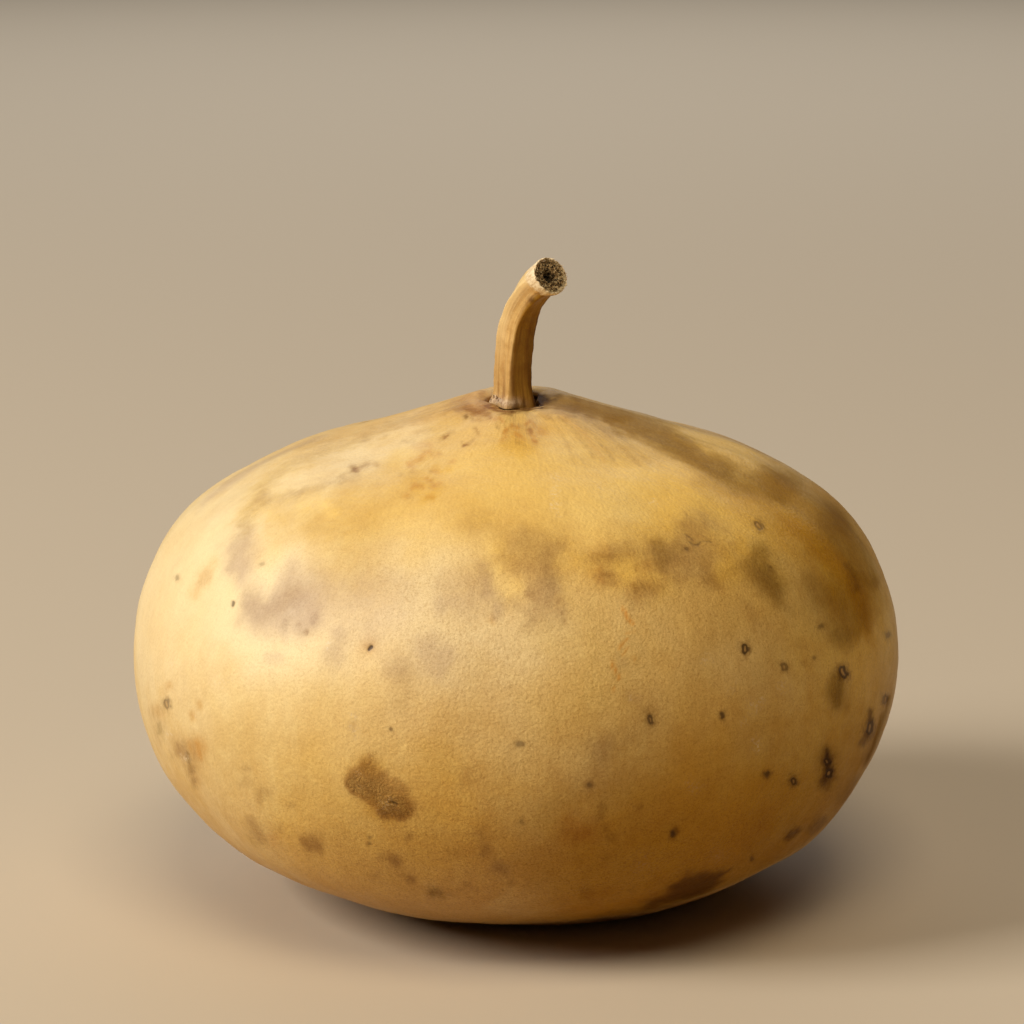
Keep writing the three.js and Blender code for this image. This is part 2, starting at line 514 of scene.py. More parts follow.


# Marks on the rind

# Marks that the photograph shows, by place and kind. Each is a strength and a path of picture x,
# picture y and radius in pixels, all read off the photograph
seenMarks = {
    # painted light: the cream washes on the lit left and in the middle, and the sun washes along the top, are
    # painted highlight; the gold, amber and rust washes on the right side and low down are painted shade
    "broad washes of tone": {
        "cream": [
            (0.9, (240, 535, 46), (235, 600, 62), (265, 650, 44)),
            (0.5, (165, 560, 36), (150, 640, 40), (165, 700, 34)), (0.6, (340, 645, 42), (405, 605, 40)),
            (0.62, (440, 640, 44), (520, 640, 40)), (0.25, (370, 700, 44), (450, 690, 44)),
            (0.5, (300, 480, 22), (350, 462, 20), (410, 440, 18)), (0.7, (250, 572, 16), (300, 575, 14)),
            (0.5, (430, 570, 30)), (0.45, (232, 628, 12)),
        ],
        "gold": [
            (0.1, (290, 520, 26), (350, 525, 30), (410, 520, 30)),
            (0.45, (470, 470, 32), (540, 470, 34), (610, 460, 32)),
            (0.25, (250, 735, 44), (330, 710, 50), (290, 790, 48)), (0.3, (570, 420, 18), (640, 445, 26)),
            (0.42, (600, 570, 30), (590, 620, 44), (590, 690, 40)),
            (0.9, (670, 475, 32), (720, 500, 38), (770, 530, 42)), (0.2, (690, 540, 30), (760, 590, 36)),
            (0.55, (830, 640, 38), (850, 700, 34)),
            (0.95, (840, 560, 30), (874, 600, 30), (885, 660, 34), (880, 720, 34)),
            (0.6, (850, 640, 34), (865, 700, 34)), (0.9, (750, 480, 26), (800, 520, 28)),
            (0.42, (620, 900, 50), (700, 870, 60), (780, 830, 50)), (0.7, (440, 770, 34), (470, 830, 50)),
            (0.37, (640, 850, 70), (740, 810, 70)), (0.45, (300, 815, 40), (380, 850, 40)),
        ],
        "sun": [
            (0.62, (470, 470, 30), (540, 480, 44), (620, 485, 40)), (0.55, (400, 520, 30), (440, 545, 30)),
            (0.6, (600, 520, 30), (690, 500, 34)), (0.7, (740, 515, 32), (800, 525, 26)),
        ],
        "amber": [
            (0.14, (556, 415, 14), (590, 425, 18), (630, 440, 20)),
            (0.32, (760, 500, 24), (800, 520, 26), (830, 560, 26)),
            (0.3, (790, 640, 44), (800, 700, 54), (850, 730, 40)),
            (0.24, (600, 790, 50), (680, 780, 60), (790, 750, 60)), (0.77, (590, 860, 54), (660, 840, 74)),
            (0.7, (760, 812, 66), (830, 775, 50)), (0.75, (610, 900, 54), (700, 870, 54), (770, 830, 44)),
            (0.3, (430, 850, 30)), (0.08, (505, 860, 40)),
        ],
        "rust": [
            (0.3, (450, 740, 34), (468, 790, 38), (480, 835, 34)), (0.22, (600, 790, 30), (640, 796, 30)),
        ],
    },
    "the broad dark band that runs down to the right": {
        "olive": [
            (0.95, (540, 402, 5), (552, 400, 6), (564, 401, 7), (582, 405, 8), (602, 411, 9), (622, 419, 10)),
            (0.5, (556, 402, 5), (600, 413, 8), (640, 428, 8), (680, 447, 9), (720, 469, 9)),
            (0.74, (622, 419, 9.5), (660, 435, 11), (700, 458, 12), (740, 479, 12), (780, 489, 12)),
            (0.62, (780, 489, 12), (800, 495, 12), (818, 507, 13), (834, 522, 13)),
            (0.7, (834, 522, 15), (848, 540, 13), (860, 560, 11), (868, 580, 9)),
            (0.4, (765, 468, 4), (785, 474, 5), (800, 480, 6)),
        ],
        "stain": [
            (0.55, (541, 412, 4), (556, 411, 6), (574, 413, 6)),
            (0.34, (558, 404, 5), (584, 411, 6), (612, 418, 6)),
        ],
        "dark": [
            (0.26, (640, 428, 6), (690, 452, 7), (730, 474, 7)),
            (0.5, (848, 566, 3), (852, 575, 4), (856, 588, 4)),
        ],
        # the sun and gold strip above the band, along the top edge on the right, is a painted highlight of
        # light from behind
        "sun": [(0.6, (684, 433, 8), (724, 449, 9), (760, 463, 9))],
        "gold": [(0.9, (680, 432, 9), (724, 449, 10), (760, 463, 10))],
        "amber": [
            (0.35, (700, 484, 9), (740, 501, 10), (770, 509, 11), (790, 517, 12)),
            (0.85, (795, 530, 14), (820, 545, 17), (840, 565, 17), (850, 590, 15)),
        ],
    },
    "the patch that it ends in": {
        "olive": [
            (0.58, (811, 582, 8), (822, 596, 12), (832, 614, 14), (840, 632, 14)),
            (0.3, (842, 590, 14), (852, 612, 15), (856, 628, 11)), (0.3, (866, 590, 10), (872, 610, 9)),
        ],
        "amber": [(0.85, (850, 590, 13), (856, 610, 14), (862, 630, 11))],
        "dark": [(0.35, (838, 633, 8), (850, 640, 7)), (0.2, (856, 605, 9), (866, 625, 7))],
    },
    "the thin bands that run down to the left": {
        "ochre": [
            (0.6, (390, 428, 7), (340, 444, 8), (300, 458, 8), (272, 476, 8), (255, 500, 9), (240, 525, 8)),
        ],
        "stain": [
            (0.42, (470, 398, 5), (450, 405, 6), (430, 413, 6), (400, 425, 5), (365, 437, 5)),
            (0.3, (365, 437, 5), (330, 447, 5), (300, 459, 5), (275, 475, 5), (265, 490, 5)),
            (0.45, (262, 497, 7), (250, 512, 7), (244, 524, 6)),
            (0.4, (341, 479, 4), (322, 485, 4), (300, 495, 5), (280, 500, 5), (264, 503, 5)),
            (0.3, (296, 496, 3), (304, 493, 3)), (0.3, (232, 556, 4), (230, 568, 4)), (0.25, (236, 540, 6)),
            (0.35, (342, 478, 5), (354, 477, 5)),
        ],
        "mauve": [
            (0.8, (241, 534, 9), (236, 550, 11), (240, 570, 10)),
            (0.55, (250, 545, 9), (246, 562, 10), (240, 584, 8)),
        ],
        "purple": [
            (0.9, (354, 469, 3), (357, 470, 2.4)), (0.6, (362, 467, 2), (368, 464, 2.2)),
            (0.5, (374, 464, 1.4), (378, 465, 1.6)),
        ],
        "dark": [(0.5, (354, 469, 2))],
        "scurf": [(0.6, (359, 470, 2), (363, 471, 2))],
    },
    "the yellow zone on the left shoulder": {
        "ochre": [
            (0.55, (268, 508, 12), (300, 515, 17), (340, 508, 18)), (0.14, (380, 505, 18)),
            (0.22, (290, 530, 18), (350, 530, 22)),
        ],
        # the rust here is painted shade, the shadow band on the left shoulder
        "rust": [(0.2, (264, 520, 14), (254, 548, 12))],
        "gold": [(0.6, (408, 463, 18))],
        "sun": [
            (0.6, (265, 512, 5), (270, 514, 4)), (0.5, (305, 509, 6), (312, 505, 5)),
            (0.7, (325, 506, 5), (334, 514, 5)),
        ],
        "stain": [(0.2, (312, 528, 5), (330, 526, 5))],
    },
    "the mauve blotch on the left": {
        "mauve": [
            (0.96, (254, 609, 11), (270, 603, 17), (286, 600, 20), (300, 602, 17)),
            (0.8, (262, 622, 12), (288, 622, 14), (308, 618, 12)),
            (0.6, (275, 592, 12), (296, 586, 14), (312, 578, 12)), (0.55, (318, 606, 15), (326, 596, 14)),
            (0.36, (345, 602, 20), (340, 622, 14)),
            (0.46, (365, 592, 20), (395, 592, 19), (390, 612, 18), (372, 628, 15)),
            (0.12, (352, 572, 14), (378, 568, 14)), (0.6, (339, 638, 8), (334, 656, 9)),
            (0.5, (270, 656, 4), (278, 658, 4)),
        ],
        "stain": [
            (0.36, (252, 604, 11), (268, 608, 13), (284, 606, 12)), (0.2, (292, 590, 8)),
            (0.42, (285, 625, 3.4), (290, 619, 3)), (0.45, (317, 616, 3), (313, 622, 3)),
            (0.22, (272, 672, 3), (276, 690, 3)),
        ],
        "purple": [(0.5, (299, 625, 2)), (0.6, (305, 632, 2.2), (308, 633, 2))],
        "rust": [(0.6, (369, 648, 6))],
    },
    "the big blotch in the middle": {
        "ochre": [
            (0.36, (450, 521, 9), (480, 518, 11), (515, 521, 10), (545, 530, 9)),
            (0.55, (562, 545, 9), (566, 570, 9), (564, 600, 9)), (0.5, (500, 546, 9), (508, 590, 12)),
        ],
        "stain": [
            (0.2, (470, 528, 10), (485, 517, 8)), (0.24, (505, 533, 9), (530, 533, 9)),
            (0.62, (513, 556, 12), (528, 554, 16), (541, 562, 18), (540, 578, 17)),
            (0.6, (534, 592, 8), (544, 594, 12), (547, 606, 12), (540, 612, 11)),
            (0.4, (556, 585, 10), (556, 604, 10)), (0.34, (535, 624, 8), (556, 620, 8)),
            (0.3, (486, 590, 4)), (0.32, (505, 598, 7), (510, 602, 7)),
            (0.36, (517, 608, 4), (521, 610, 3)), (0.4, (404, 672, 8), (408, 688, 9), (402, 704, 8)),
        ],
        "olive": [(0.17, (530, 542, 9), (546, 552, 9), (552, 566, 9), (552, 584, 9))],
        "purple": [
            (0.22, (546, 556, 5), (548, 575, 4)), (0.26, (532, 596, 4), (526, 606, 4)),
            (0.4, (565, 622, 2)),
        ],
        "sun": [
            (0.8, (495, 572, 4), (497, 584, 5)), (0.8, (505, 586, 5), (511, 592, 6), (521, 588, 5)),
            (0.6, (490, 548, 7), (500, 550, 5)),
        ],
        "mauve": [
            (0.6, (484, 566, 5), (488, 582, 6), (486, 596, 5)),
            (0.5, (448, 586, 13), (470, 588, 14), (482, 590, 9)), (0.55, (438, 606, 6), (440, 612, 5)),
            (0.7, (497, 608, 6), (497, 616, 5)), (0.45, (450, 604, 8), (470, 608, 10)),
            (0.66, (428, 650, 11), (433, 664, 11), (444, 655, 9)), (0.4, (400, 668, 12)),
        ],
        "rust": [(0.6, (492, 621, 3), (494, 624, 2))],
    },
    "the blotch to the right of the middle": {
        "ochre": [
            (0.75, (590, 560, 12), (612, 566, 17), (640, 565, 19), (655, 530, 14), (670, 515, 13)),
            (0.7, (632, 582, 13), (655, 582, 13)), (0.8, (732, 545, 12), (735, 570, 12)),
        ],
        "sun": [(0.4, (622, 570, 6), (632, 576, 6))],
        "rust": [
            (0.3, (596, 552, 6), (604, 546, 6)), (0.5, (599, 572, 4), (600, 580, 4)), (0.35, (648, 567, 6)),
            (0.3, (722, 590, 3)),
        ],
        "stain": [
            (0.66, (596, 553, 9), (608, 551, 11), (621, 550, 8)), (0.5, (605, 558, 7), (612, 556, 7)),
            (0.56, (604, 578, 7), (613, 581, 5)), (0.52, (634, 556, 8), (646, 560, 9)),
            (0.62, (634, 588, 9), (645, 590, 8), (655, 588, 6)), (0.42, (624, 598, 7), (638, 599, 8)),
            (0.66, (658, 546, 10), (668, 552, 15), (678, 556, 14)),
            (0.72, (688, 532, 12), (700, 545, 16), (708, 556, 13)),
            (0.38, (692, 518, 10), (712, 526, 13), (724, 540, 10)),
            (0.5, (672, 570, 10), (690, 568, 13), (706, 570, 10)), (0.6, (710, 572, 8), (716, 582, 8)),
        ],
        "purple": [
            (0.34, (608, 556, 5)), (0.45, (604, 574, 2.4), (609, 575, 2.6)),
            (0.42, (635, 566, 2.6), (637, 570, 2.4)), (0.32, (647, 567, 3), (652, 571, 3)),
            (0.55, (634, 585, 3), (636, 590, 3)), (0.4, (643, 587, 2.6), (647, 587, 2.8)),
            (0.3, (686, 536, 3), (692, 538, 3)), (0.3, (687, 549, 3)), (0.24, (685, 572, 4)),
            (0.4, (715, 580, 5), (718, 584, 4)),
        ],
        "olive": [(0.46, (658, 543, 7), (662, 553, 9), (664, 563, 7)), (0.36, (673, 549, 10))],
        "mauve": [(0.5, (622, 664, 5)), (0.4, (631, 693, 4), (638, 698, 4))],
    },
    "the slanted blotch on the right": {
        "olive": [
            (0.72, (758, 555, 10), (754, 565, 12), (762, 576, 12), (770, 584, 11)),
            (0.6, (764, 576, 10), (774, 588, 9), (781, 600, 6)),
            (0.42, (754, 564, 11), (768, 570, 13), (776, 582, 12)), (0.3, (786, 606, 5), (792, 612, 4)),
        ],
        "dark": [(0.26, (768, 572, 5), (775, 585, 5), (781, 596, 3))],
        "stain": [
            (0.36, (749, 606, 4)), (0.4, (756, 615, 4), (758, 624, 4)), (0.32, (803, 645, 4)),
            (0.4, (806, 663.5, 3)),
        ],
    },
    "smudges along the right edge": {
        "olive": [
            (0.85, (838, 678, 7), (838, 690, 9), (839, 703, 8)),
            (0.85, (893, 700, 5), (890, 712, 5), (886, 725, 6), (880, 740, 6), (876, 750, 5), (868, 762, 5)),
            (0.78, (828.5, 757, 8), (828, 779, 8)),
        ],
        "dark": [
            (0.4, (839, 684, 4), (839.5, 702, 4.5)), (0.91, (870.7, 711, 2.4), (870.5, 720, 2.6)),
            (0.85, (868, 735, 4), (863, 743, 4)), (0.95, (829, 756.5, 3), (827.5, 751, 2.5)),
            (0.95, (829, 767.8, 3)), (0.78, (826.5, 781, 3.4), (825.5, 787, 3)),
            (0.85, (787.5, 839, 2.4), (793, 834, 3.2), (799, 829.5, 2.4)),
            (0.59, (811, 829, 4), (822, 821, 4)), (0.45, (845, 799, 5), (858, 781, 5)),
        ],
    },
    # a dark brown patch; its lower strokes are painted shadow where the rind comes down to the floor
    "the dark patch low on the right": {
        "dark": [
            (0.95, (674, 887, 5), (686, 882, 7), (700, 880, 8), (714, 876, 6), (727, 871.5, 2.6)),
            (0.8, (652, 903, 5), (675, 897, 8), (700, 891, 8)),
            (0.95, (680, 892, 5), (700, 889, 8), (714, 884, 5)),
            (0.65, (645, 906, 4), (668, 898, 5), (690, 895, 4)),
        ],
    },
    "left flank": {
        "rust": [
            (0.26, (182, 742, 10), (190, 762, 10), (194, 782, 7)),
            (0.42, (213, 562, 4), (203, 577, 5.5), (193, 594, 4)),
            (0.3, (165, 694, 6), (167, 705, 9), (166, 714, 8)), (0.6, (168.5, 686, 3)),
            (0.6, (157, 712, 4)), (0.7, (192, 714, 3), (193, 718, 2.5)),
            (0.6, (199.5, 703, 2.2), (200, 708, 2)), (0.95, (195, 743, 5), (198, 749, 6), (199, 755, 4)),
            (0.59, (275, 838, 5)),
        ],
        "ochre": [(0.3, (158, 700, 11), (166, 728, 11))],
        "stain": [
            (0.3, (206, 572, 4), (199, 582, 4)), (0.34, (156, 712, 5), (159, 730, 5), (162, 741, 4)),
            (0.65, (178, 745, 5), (178, 753, 5)),
            (0.5, (184, 746, 6), (187, 757, 7), (191, 770, 6), (194, 782, 5)), (0.49, (247.6, 768.7, 4)),
            (0.59, (262, 792, 5), (263, 798, 5)), (0.33, (246, 782, 6), (258, 788, 6)),
            (0.52, (290, 804.4, 2.5), (295, 804, 2)), (0.45, (282.6, 827.4, 3)),
            (0.65, (252, 824, 6), (256, 831, 7), (260, 838, 6)), (0.39, (353.5, 722, 4), (353, 731, 4)),
            (0.95, (308, 837, 5), (315, 843, 7), (321, 848, 5)),
        ],
        "dark": [
            (0.48, (159, 724, 1.8), (160, 733, 2)),
            (0.56, (186.6, 753.7, 1.8), (188, 764, 2), (190.5, 772, 2.3)),
            (0.34, (192, 780, 1.8), (194.6, 789, 2)),
        ],
    },
    "lower front": {
        "stain": [
            (0.95, (391.5, 859.5, 5), (397, 862, 4.5)), (0.45, (382, 854.5, 4)),
            (0.95, (406, 880, 2.6), (412, 882, 3.6)), (0.45, (401, 875.5, 3)), (0.45, (450, 893, 6)),
            (0.85, (408.6, 836.5, 4)), (0.45, (375, 876, 4)), (0.55, (480.4, 834.5, 5)),
            (0.45, (484.5, 844.8, 6)), (0.72, (485, 854, 5), (492, 855, 4)),
            (0.39, (468, 771, 6), (466, 780, 5)), (0.39, (451.7, 853, 6)), (0.52, (512, 883.7, 4)),
            (0.49, (587, 893, 4)), (0.45, (464, 886, 4)), (0.49, (607.5, 859, 3)),
            (0.65, (602, 806, 4), (602.5, 815, 4)), (0.52, (640, 809, 3)),
            (0.49, (606, 829, 3), (612, 838, 4)), (0.72, (677, 828, 2.5), (678.5, 831, 2)),
            (0.33, (595, 758, 10), (612, 744, 12), (634, 735, 9)),
        ],
        "dark": [(0.72, (431, 893, 4), (439, 894.5, 5))],
        "mauve": [
            (0.91, (498, 868, 6), (502, 871, 5)), (0.72, (590, 785.5, 4.5)), (0.52, (603, 752, 8)),
            (0.34, (606, 784, 22)), (0.24, (758, 744, 22)),
        ],
        "rust": [(0.65, (572, 824, 9)), (0.65, (589, 830, 9)), (0.59, (566, 839, 6))],
    },
    # the purple and dark lines along the foot's lower edge are partly a purple-brown line and partly painted
    # shade in the crease under the foot; the dark and olive strokes at its right are painted shade
    "round the stem's foot": {
        "purple": [
            (0.95, (486, 406, 2), (496, 409.5, 2.2), (505, 411, 2.6), (513, 411, 2.4)),
            (0.95, (490, 407, 1.4), (500, 409.5, 1.6), (514, 410, 1.6), (528, 409, 1.6), (540, 406, 2)),
            (0.76, (466, 410, 3.4), (474, 411, 3.8), (484, 411, 3.2)),
            (0.45, (480, 417, 4), (487, 414, 3.4)), (0.5, (491, 416, 2)),
            (0.5, (475, 427, 1.6), (478, 433, 1.6)), (0.36, (474, 438, 1.6), (470, 442, 1.6)),
            (0.9, (464, 445, 1.8), (467, 444, 1.6)),
        ],
        "dark": [
            (0.95, (512, 410, 1.8), (520, 410, 2), (530, 408.5, 2), (540, 405.5, 2.4), (547, 401.5, 3)),
            (0.92, (535, 397, 3), (541, 397.5, 3.4)),
            (0.7, (541, 402, 3.4), (548, 400.5, 3), (555, 399, 2.6)), (0.8, (466, 416, 2)),
            (0.6, (472, 418, 1.7)),
        ],
        "stain": [
            (0.6, (500, 414, 3), (512, 414, 3)), (0.7, (481, 394, 4), (482, 400, 4.5)),
            (0.6, (452, 406, 6), (464, 404, 6)), (0.5, (496, 424, 1.8), (499, 428, 1.6)),
            (0.4, (507, 431, 1.4)), (0.34, (513, 426, 1.4)), (0.34, (519, 425, 1.4), (522, 428, 1.6)),
            (0.62, (529, 430, 2.2), (531, 433, 2)), (0.34, (535, 442, 1.3)), (0.34, (539, 440, 1.6)),
            (0.5, (521, 444, 1.8), (516, 442, 1.6)), (0.5, (462, 440.5, 1.5)),
        ],
        "olive": [(0.6, (538, 401, 5), (548, 400, 5))],
        "rust": [
            (0.5, (472, 392, 6), (483, 391, 6)), (0.64, (470, 408, 8), (482, 409, 8)),
            (0.6, (494, 419, 1.6), (500, 418, 1.6), (503, 422, 1.4)),
            (0.85, (507, 430, 2), (504, 433, 1.6)), (0.6, (506, 437, 1.6), (502, 440, 1.8)),
            (0.3, (510, 434, 5), (522, 432, 6)), (0.85, (512, 426, 2), (517, 428, 1.8)),
            (0.8, (516, 434, 2.2), (520, 437, 1.8)), (0.8, (526, 425, 1.6), (529, 423, 1.6)),
            (0.6, (533, 424, 1.5), (535, 427, 1.6)), (0.8, (530, 431, 2.6), (531.5, 435, 2)),
            (0.55, (535, 437, 1.6)), (0.85, (533, 441, 1.8), (536, 443, 1.6)), (0.5, (524, 440, 1.8)),
            (0.5, (540, 431, 3)), (0.3, (545, 431, 4)),
        ],
        "ochre": [
            (0.8, (505, 446, 5), (530, 450, 6)), (0.9, (520, 445, 3), (514, 440, 3)),
            (0.6, (440, 425, 8), (452, 420, 7)), (0.6, (512, 448, 6), (520, 452, 6)),
        ],
        "gold": [(0.8, (545, 431, 5))],
    },
    "brown mottles on the left of the crown": {
        "stain": [
            (0.3, (417, 434, 2.4), (425, 431, 2.6), (433, 430, 2.4)),
            (0.34, (404, 442, 2), (413, 441, 2.4)), (0.26, (441, 453.5, 1.4)), (0.35, (431, 471, 1.8)),
            (0.3, (410, 472, 1.6), (413, 471, 1.6)), (0.3, (399, 474, 2), (402, 473.5, 1.8)),
            (0.26, (431, 480.5, 1.7)), (0.34, (406, 497, 2), (411, 494, 1.8)),
        ],
        "rust": [
            (0.4, (416, 448, 2.4), (422, 446, 2.6), (428, 444, 2.4), (431, 447, 2.4)),
            (0.55, (423, 456, 2), (425, 453, 2), (429, 452, 1.8)),
            (0.6, (409, 463, 2), (415, 460.5, 2.2), (421, 458, 2)), (0.55, (409, 465, 1.8), (413, 467, 2)),
            (0.45, (432, 455, 2), (440, 453.5, 1.8)), (0.5, (451, 462, 1.5), (454, 461, 1.5)),
            (0.45, (434, 470, 2.4), (437, 473, 2)), (0.5, (426, 477, 1.8), (431, 480.5, 2)),
            (0.62, (411, 486, 1.7), (415, 483, 1.8), (417, 485.5, 1.6)),
            (0.55, (420, 483.5, 1.4), (423, 486, 1.6)), (0.5, (434, 484, 1.4), (440, 482, 1.4)),
            (0.55, (432.5, 486, 1.7)), (0.5, (404, 494, 2), (407, 493, 2)),
            (0.5, (427, 495, 1.8), (431, 494.5, 1.8), (433, 497, 1.8)),
        ],
        "ochre": [
            (0.9, (433, 469, 3), (441, 470, 3.2), (450, 469, 2.6)), (0.85, (420, 484, 8), (431, 484, 8)),
            (0.95, (425, 496, 3), (432, 496, 3.4)),
        ],
        "purple": [
            (0.85, (445, 436, 1.8), (447, 435, 1.6)), (0.4, (440, 439, 2), (443, 437, 2)),
            (0.3, (449, 432.5, 2), (454, 431, 2)),
        ],
    },
    "fine shadows that fan out from the foot to the right": {
        "stain": [
            (0.34, (556, 414, 1.2), (576, 434, 1.8), (594, 456, 2)),
            (0.34, (562, 412, 1.2), (592, 434, 1.8), (614, 460, 2.2)),
            (0.34, (568, 409, 1.2), (606, 432, 2), (640, 464, 2.4)),
            (0.26, (549, 416, 1.2), (566, 440, 1.8), (574, 464, 2)),
            (0.3, (574, 409, 1.2), (618, 434, 2), (650, 462, 2.4)),
        ],
        "rust": [(0.3, (559, 413, 1.2), (584, 434, 1.8), (604, 460, 2))],
    },
    "the corky scar": {
        "cork": [
            (0.92, (357, 786, 11), (367, 790, 12), (378, 795, 13), (390, 803, 15), (401, 805, 13)),
            (0.46, (357, 773, 9), (369, 773, 11), (380, 779, 11)), (0.36, (370, 757, 6), (367, 765, 8)),
            (0.42, (396, 786, 8), (404, 790, 6)),
        ],
        "ochre": [(0.8, (366, 762, 9), (376, 768, 9)), (0.7, (367, 808, 7), (378, 816, 7), (392, 823, 6))],
        "stain": [
            (0.4, (366, 770, 3), (368, 774, 3)), (0.34, (381, 775, 2.6)), (0.34, (395, 778, 2.6)),
            (0.3, (352, 779, 4), (350, 787, 4), (357, 796, 4)),
        ],
        "scab": [
            (0.6, (368, 792, 4), (373, 793, 4)), (0.5, (355, 789, 3)),
            (0.8, (383, 813, 4), (394, 813, 5), (401, 817, 4)),
            (0.5, (404, 798, 5), (410, 804, 5), (409, 812, 4)),
        ],
        "scurf": [
            (0.8, (358, 773, 4)), (0.9, (382, 806, 5), (389, 802, 4)), (0.6, (392, 807, 5)),
            (0.6, (361, 787, 2.4)),
        ],
    },
    "fine lines": {
        "orange": [
            (0.85, (621, 608, 1), (625, 613, 1.6), (628, 619, 1.4), (632, 624, 1.8)),
            (0.5, (636, 631, 1), (626, 633, 1)), (0.7, (627, 639, 1.1), (618.5, 648, 1.5)),
            (0.6, (627, 648, 1.1), (623, 655, 1.1)), (0.45, (633, 657, 1.2), (635, 660, 1)),
            (0.8, (613, 662, 1.3), (613.6, 667.5, 1.5), (617, 673.5, 1), (619.6, 679, 1.4)),
            (0.6, (613, 688, 1.1), (613.5, 691.5, 1.2)),
        ],
        "crack": [
            (0.45, (685, 533, 0.7), (690, 536, 0.9), (693, 539, 0.7)),
            (0.6, (690, 541, 0.7), (694, 543.5, 0.9), (699, 544, 1.3), (701, 541, 0.8)),
            (0.5, (703, 540, 0.7), (708, 540.5, 0.8), (713, 541.5, 0.6)),
            (0.35, (766, 563, 0.6), (770, 567, 0.8), (774, 569, 0.6)),
            (0.85, (391, 802.4, 1.3), (396, 804, 1.2)),
        ],
    },
    "whitish specks and scurf": {
        "pale": [
            (0.55, (556, 479, 4)), (0.6, (556, 494, 4.5)), (0.55, (554, 505, 3.5), (558, 514, 3)),
            (0.45, (599, 485, 3)), (0.45, (653, 467, 3)), (0.5, (654, 499, 3.4)), (0.4, (706, 659, 4)),
            (0.5, (754, 706, 4.5)), (0.45, (762, 700, 3)), (0.45, (756, 742, 3), (758, 749, 3)),
            (0.35, (745, 722, 3)), (0.4, (784, 687, 4)), (0.35, (732, 688, 4)),
            (0.95, (330, 641, 1.4), (327.6, 647.5, 1.8)), (0.6, (286, 651, 2.4)), (0.4, (172, 664, 5)),
            (0.7, (169, 735, 3)), (0.85, (183.3, 758.6, 2.8)), (0.45, (196, 714, 3)), (0.3, (214, 640, 8)),
            (0.35, (212, 682, 4), (230, 683, 3)), (0.35, (352, 716, 4), (355, 735, 4)),
            (0.45, (886, 692, 3)), (0.2, (718, 856, 6)), (0.16, (642, 862, 7)), (0.22, (692, 786, 5)),
            (0.45, (632, 698, 2.5)),
        ],
    },
}

# Small pits that the photograph shows, and the faint smudges round some of them: strength, and picture
# x, picture y and radius in pixels of their ends
seenPits = {
    "pits": {
        "ring": [
            (1, (745, 646.6, 2.3), (746, 650, 2.3)), (0.6, (785.4, 665.4, 1.9), (785.8, 668, 1.9)),
            (1, (842.3, 669.4, 2.5), (844.4, 674.6, 2.5)), (0.8, (650.8, 718.4, 1.9), (651, 721.4, 1.9)),
            (0.9, (794.8, 781, 2), (794.8, 783, 2)), (1, (827.7, 761.6, 2.2), (828, 763.2, 2.2)),
            (1, (829.8, 772.4, 2.3), (829.6, 775.2, 2.3)), (0.9, (870.8, 724.5, 2.2), (869.7, 731.5, 2.2)),
            (0.55, (757, 524.6, 2.2), (760, 528, 2.2)), (0.6, (886, 698, 2), (885.5, 701, 2)),
            (0.6, (166.4, 702, 1.9), (167.2, 706, 1.9)),
        ],
        "dot": [
            (0.9, (723.3, 715.2, 2.4), (723.3, 716.6, 2.2)), (0.85, (767, 775, 2.4), (769, 772.5, 2)),
            (0.9, (673.2, 833.4, 2.3), (673.2, 835.2, 2.3)), (0.5, (822, 626, 2.4)),
            (0.4, (814.5, 657.6, 1.8)), (0.55, (391.2, 729.2, 1.5)),
            (0.5, (518.5, 744.5, 2), (522.5, 744, 2)),
            (0.5, (590, 785, 2.4)), (0.45, (687, 548, 1.8)), (0.5, (752.6, 859.4, 1.8)),
            (0.4, (369.7, 838, 1.6)), (0.4, (369.5, 844, 1.6)), (0.3, (521.4, 822.2, 2)),
            (0.3, (262, 564, 2)), (0.4, (177, 578, 2)), (0.5, (886.9, 635, 2.6)),
        ],
        "hole": [(0.85, (368.8, 649.4, 1.3), (371, 647.2, 1.7)), (0.6, (231.8, 605, 1.1), (233, 601.6, 1.1))],
    },
    "smudges round pits": {
        "olive": [(0.3, (795, 780, 7)), (0.3, (674, 832, 6)), (0.4, (651, 717, 9))],
    },
}


def onTreeFromPicture(tree, path):
    # where the line of sight through each pixel meets a surface, and the radius there in millimetres
    path = np.atleast_2d(np.asarray(path, float))
    found = []
    for direction, radius in zip(pixelDirections(path), path[:, 2]):
        hit = tree.ray_cast(Vector(eye), Vector(direction).normalized())[0]
        if hit is None:
            raise ValueError(f"a mark lies beside the surface: {path}")
        depth = np.dot(np.array(hit) - eye, ahead)
        found.append([*hit, radius * depth / viewpoint["focalPixels"]])
    return np.array(found)


def onRindFromInside(path):
    # where a direction from the middle of the fruit meets the rind: azimuth, elevation, radius in mm
    found = []
    middle = Vector((0, 0, rind["bellyHeight"]))
    for azimuth, elevation, radius in path:
        a, e = azimuth * degree, elevation * degree
        aim = Vector((math.cos(a) * math.cos(e), math.sin(a) * math.cos(e), math.sin(e)))
        hit = rindTree.ray_cast(middle, aim)[0]
        found.append([*hit, radius])
    return np.array(found)


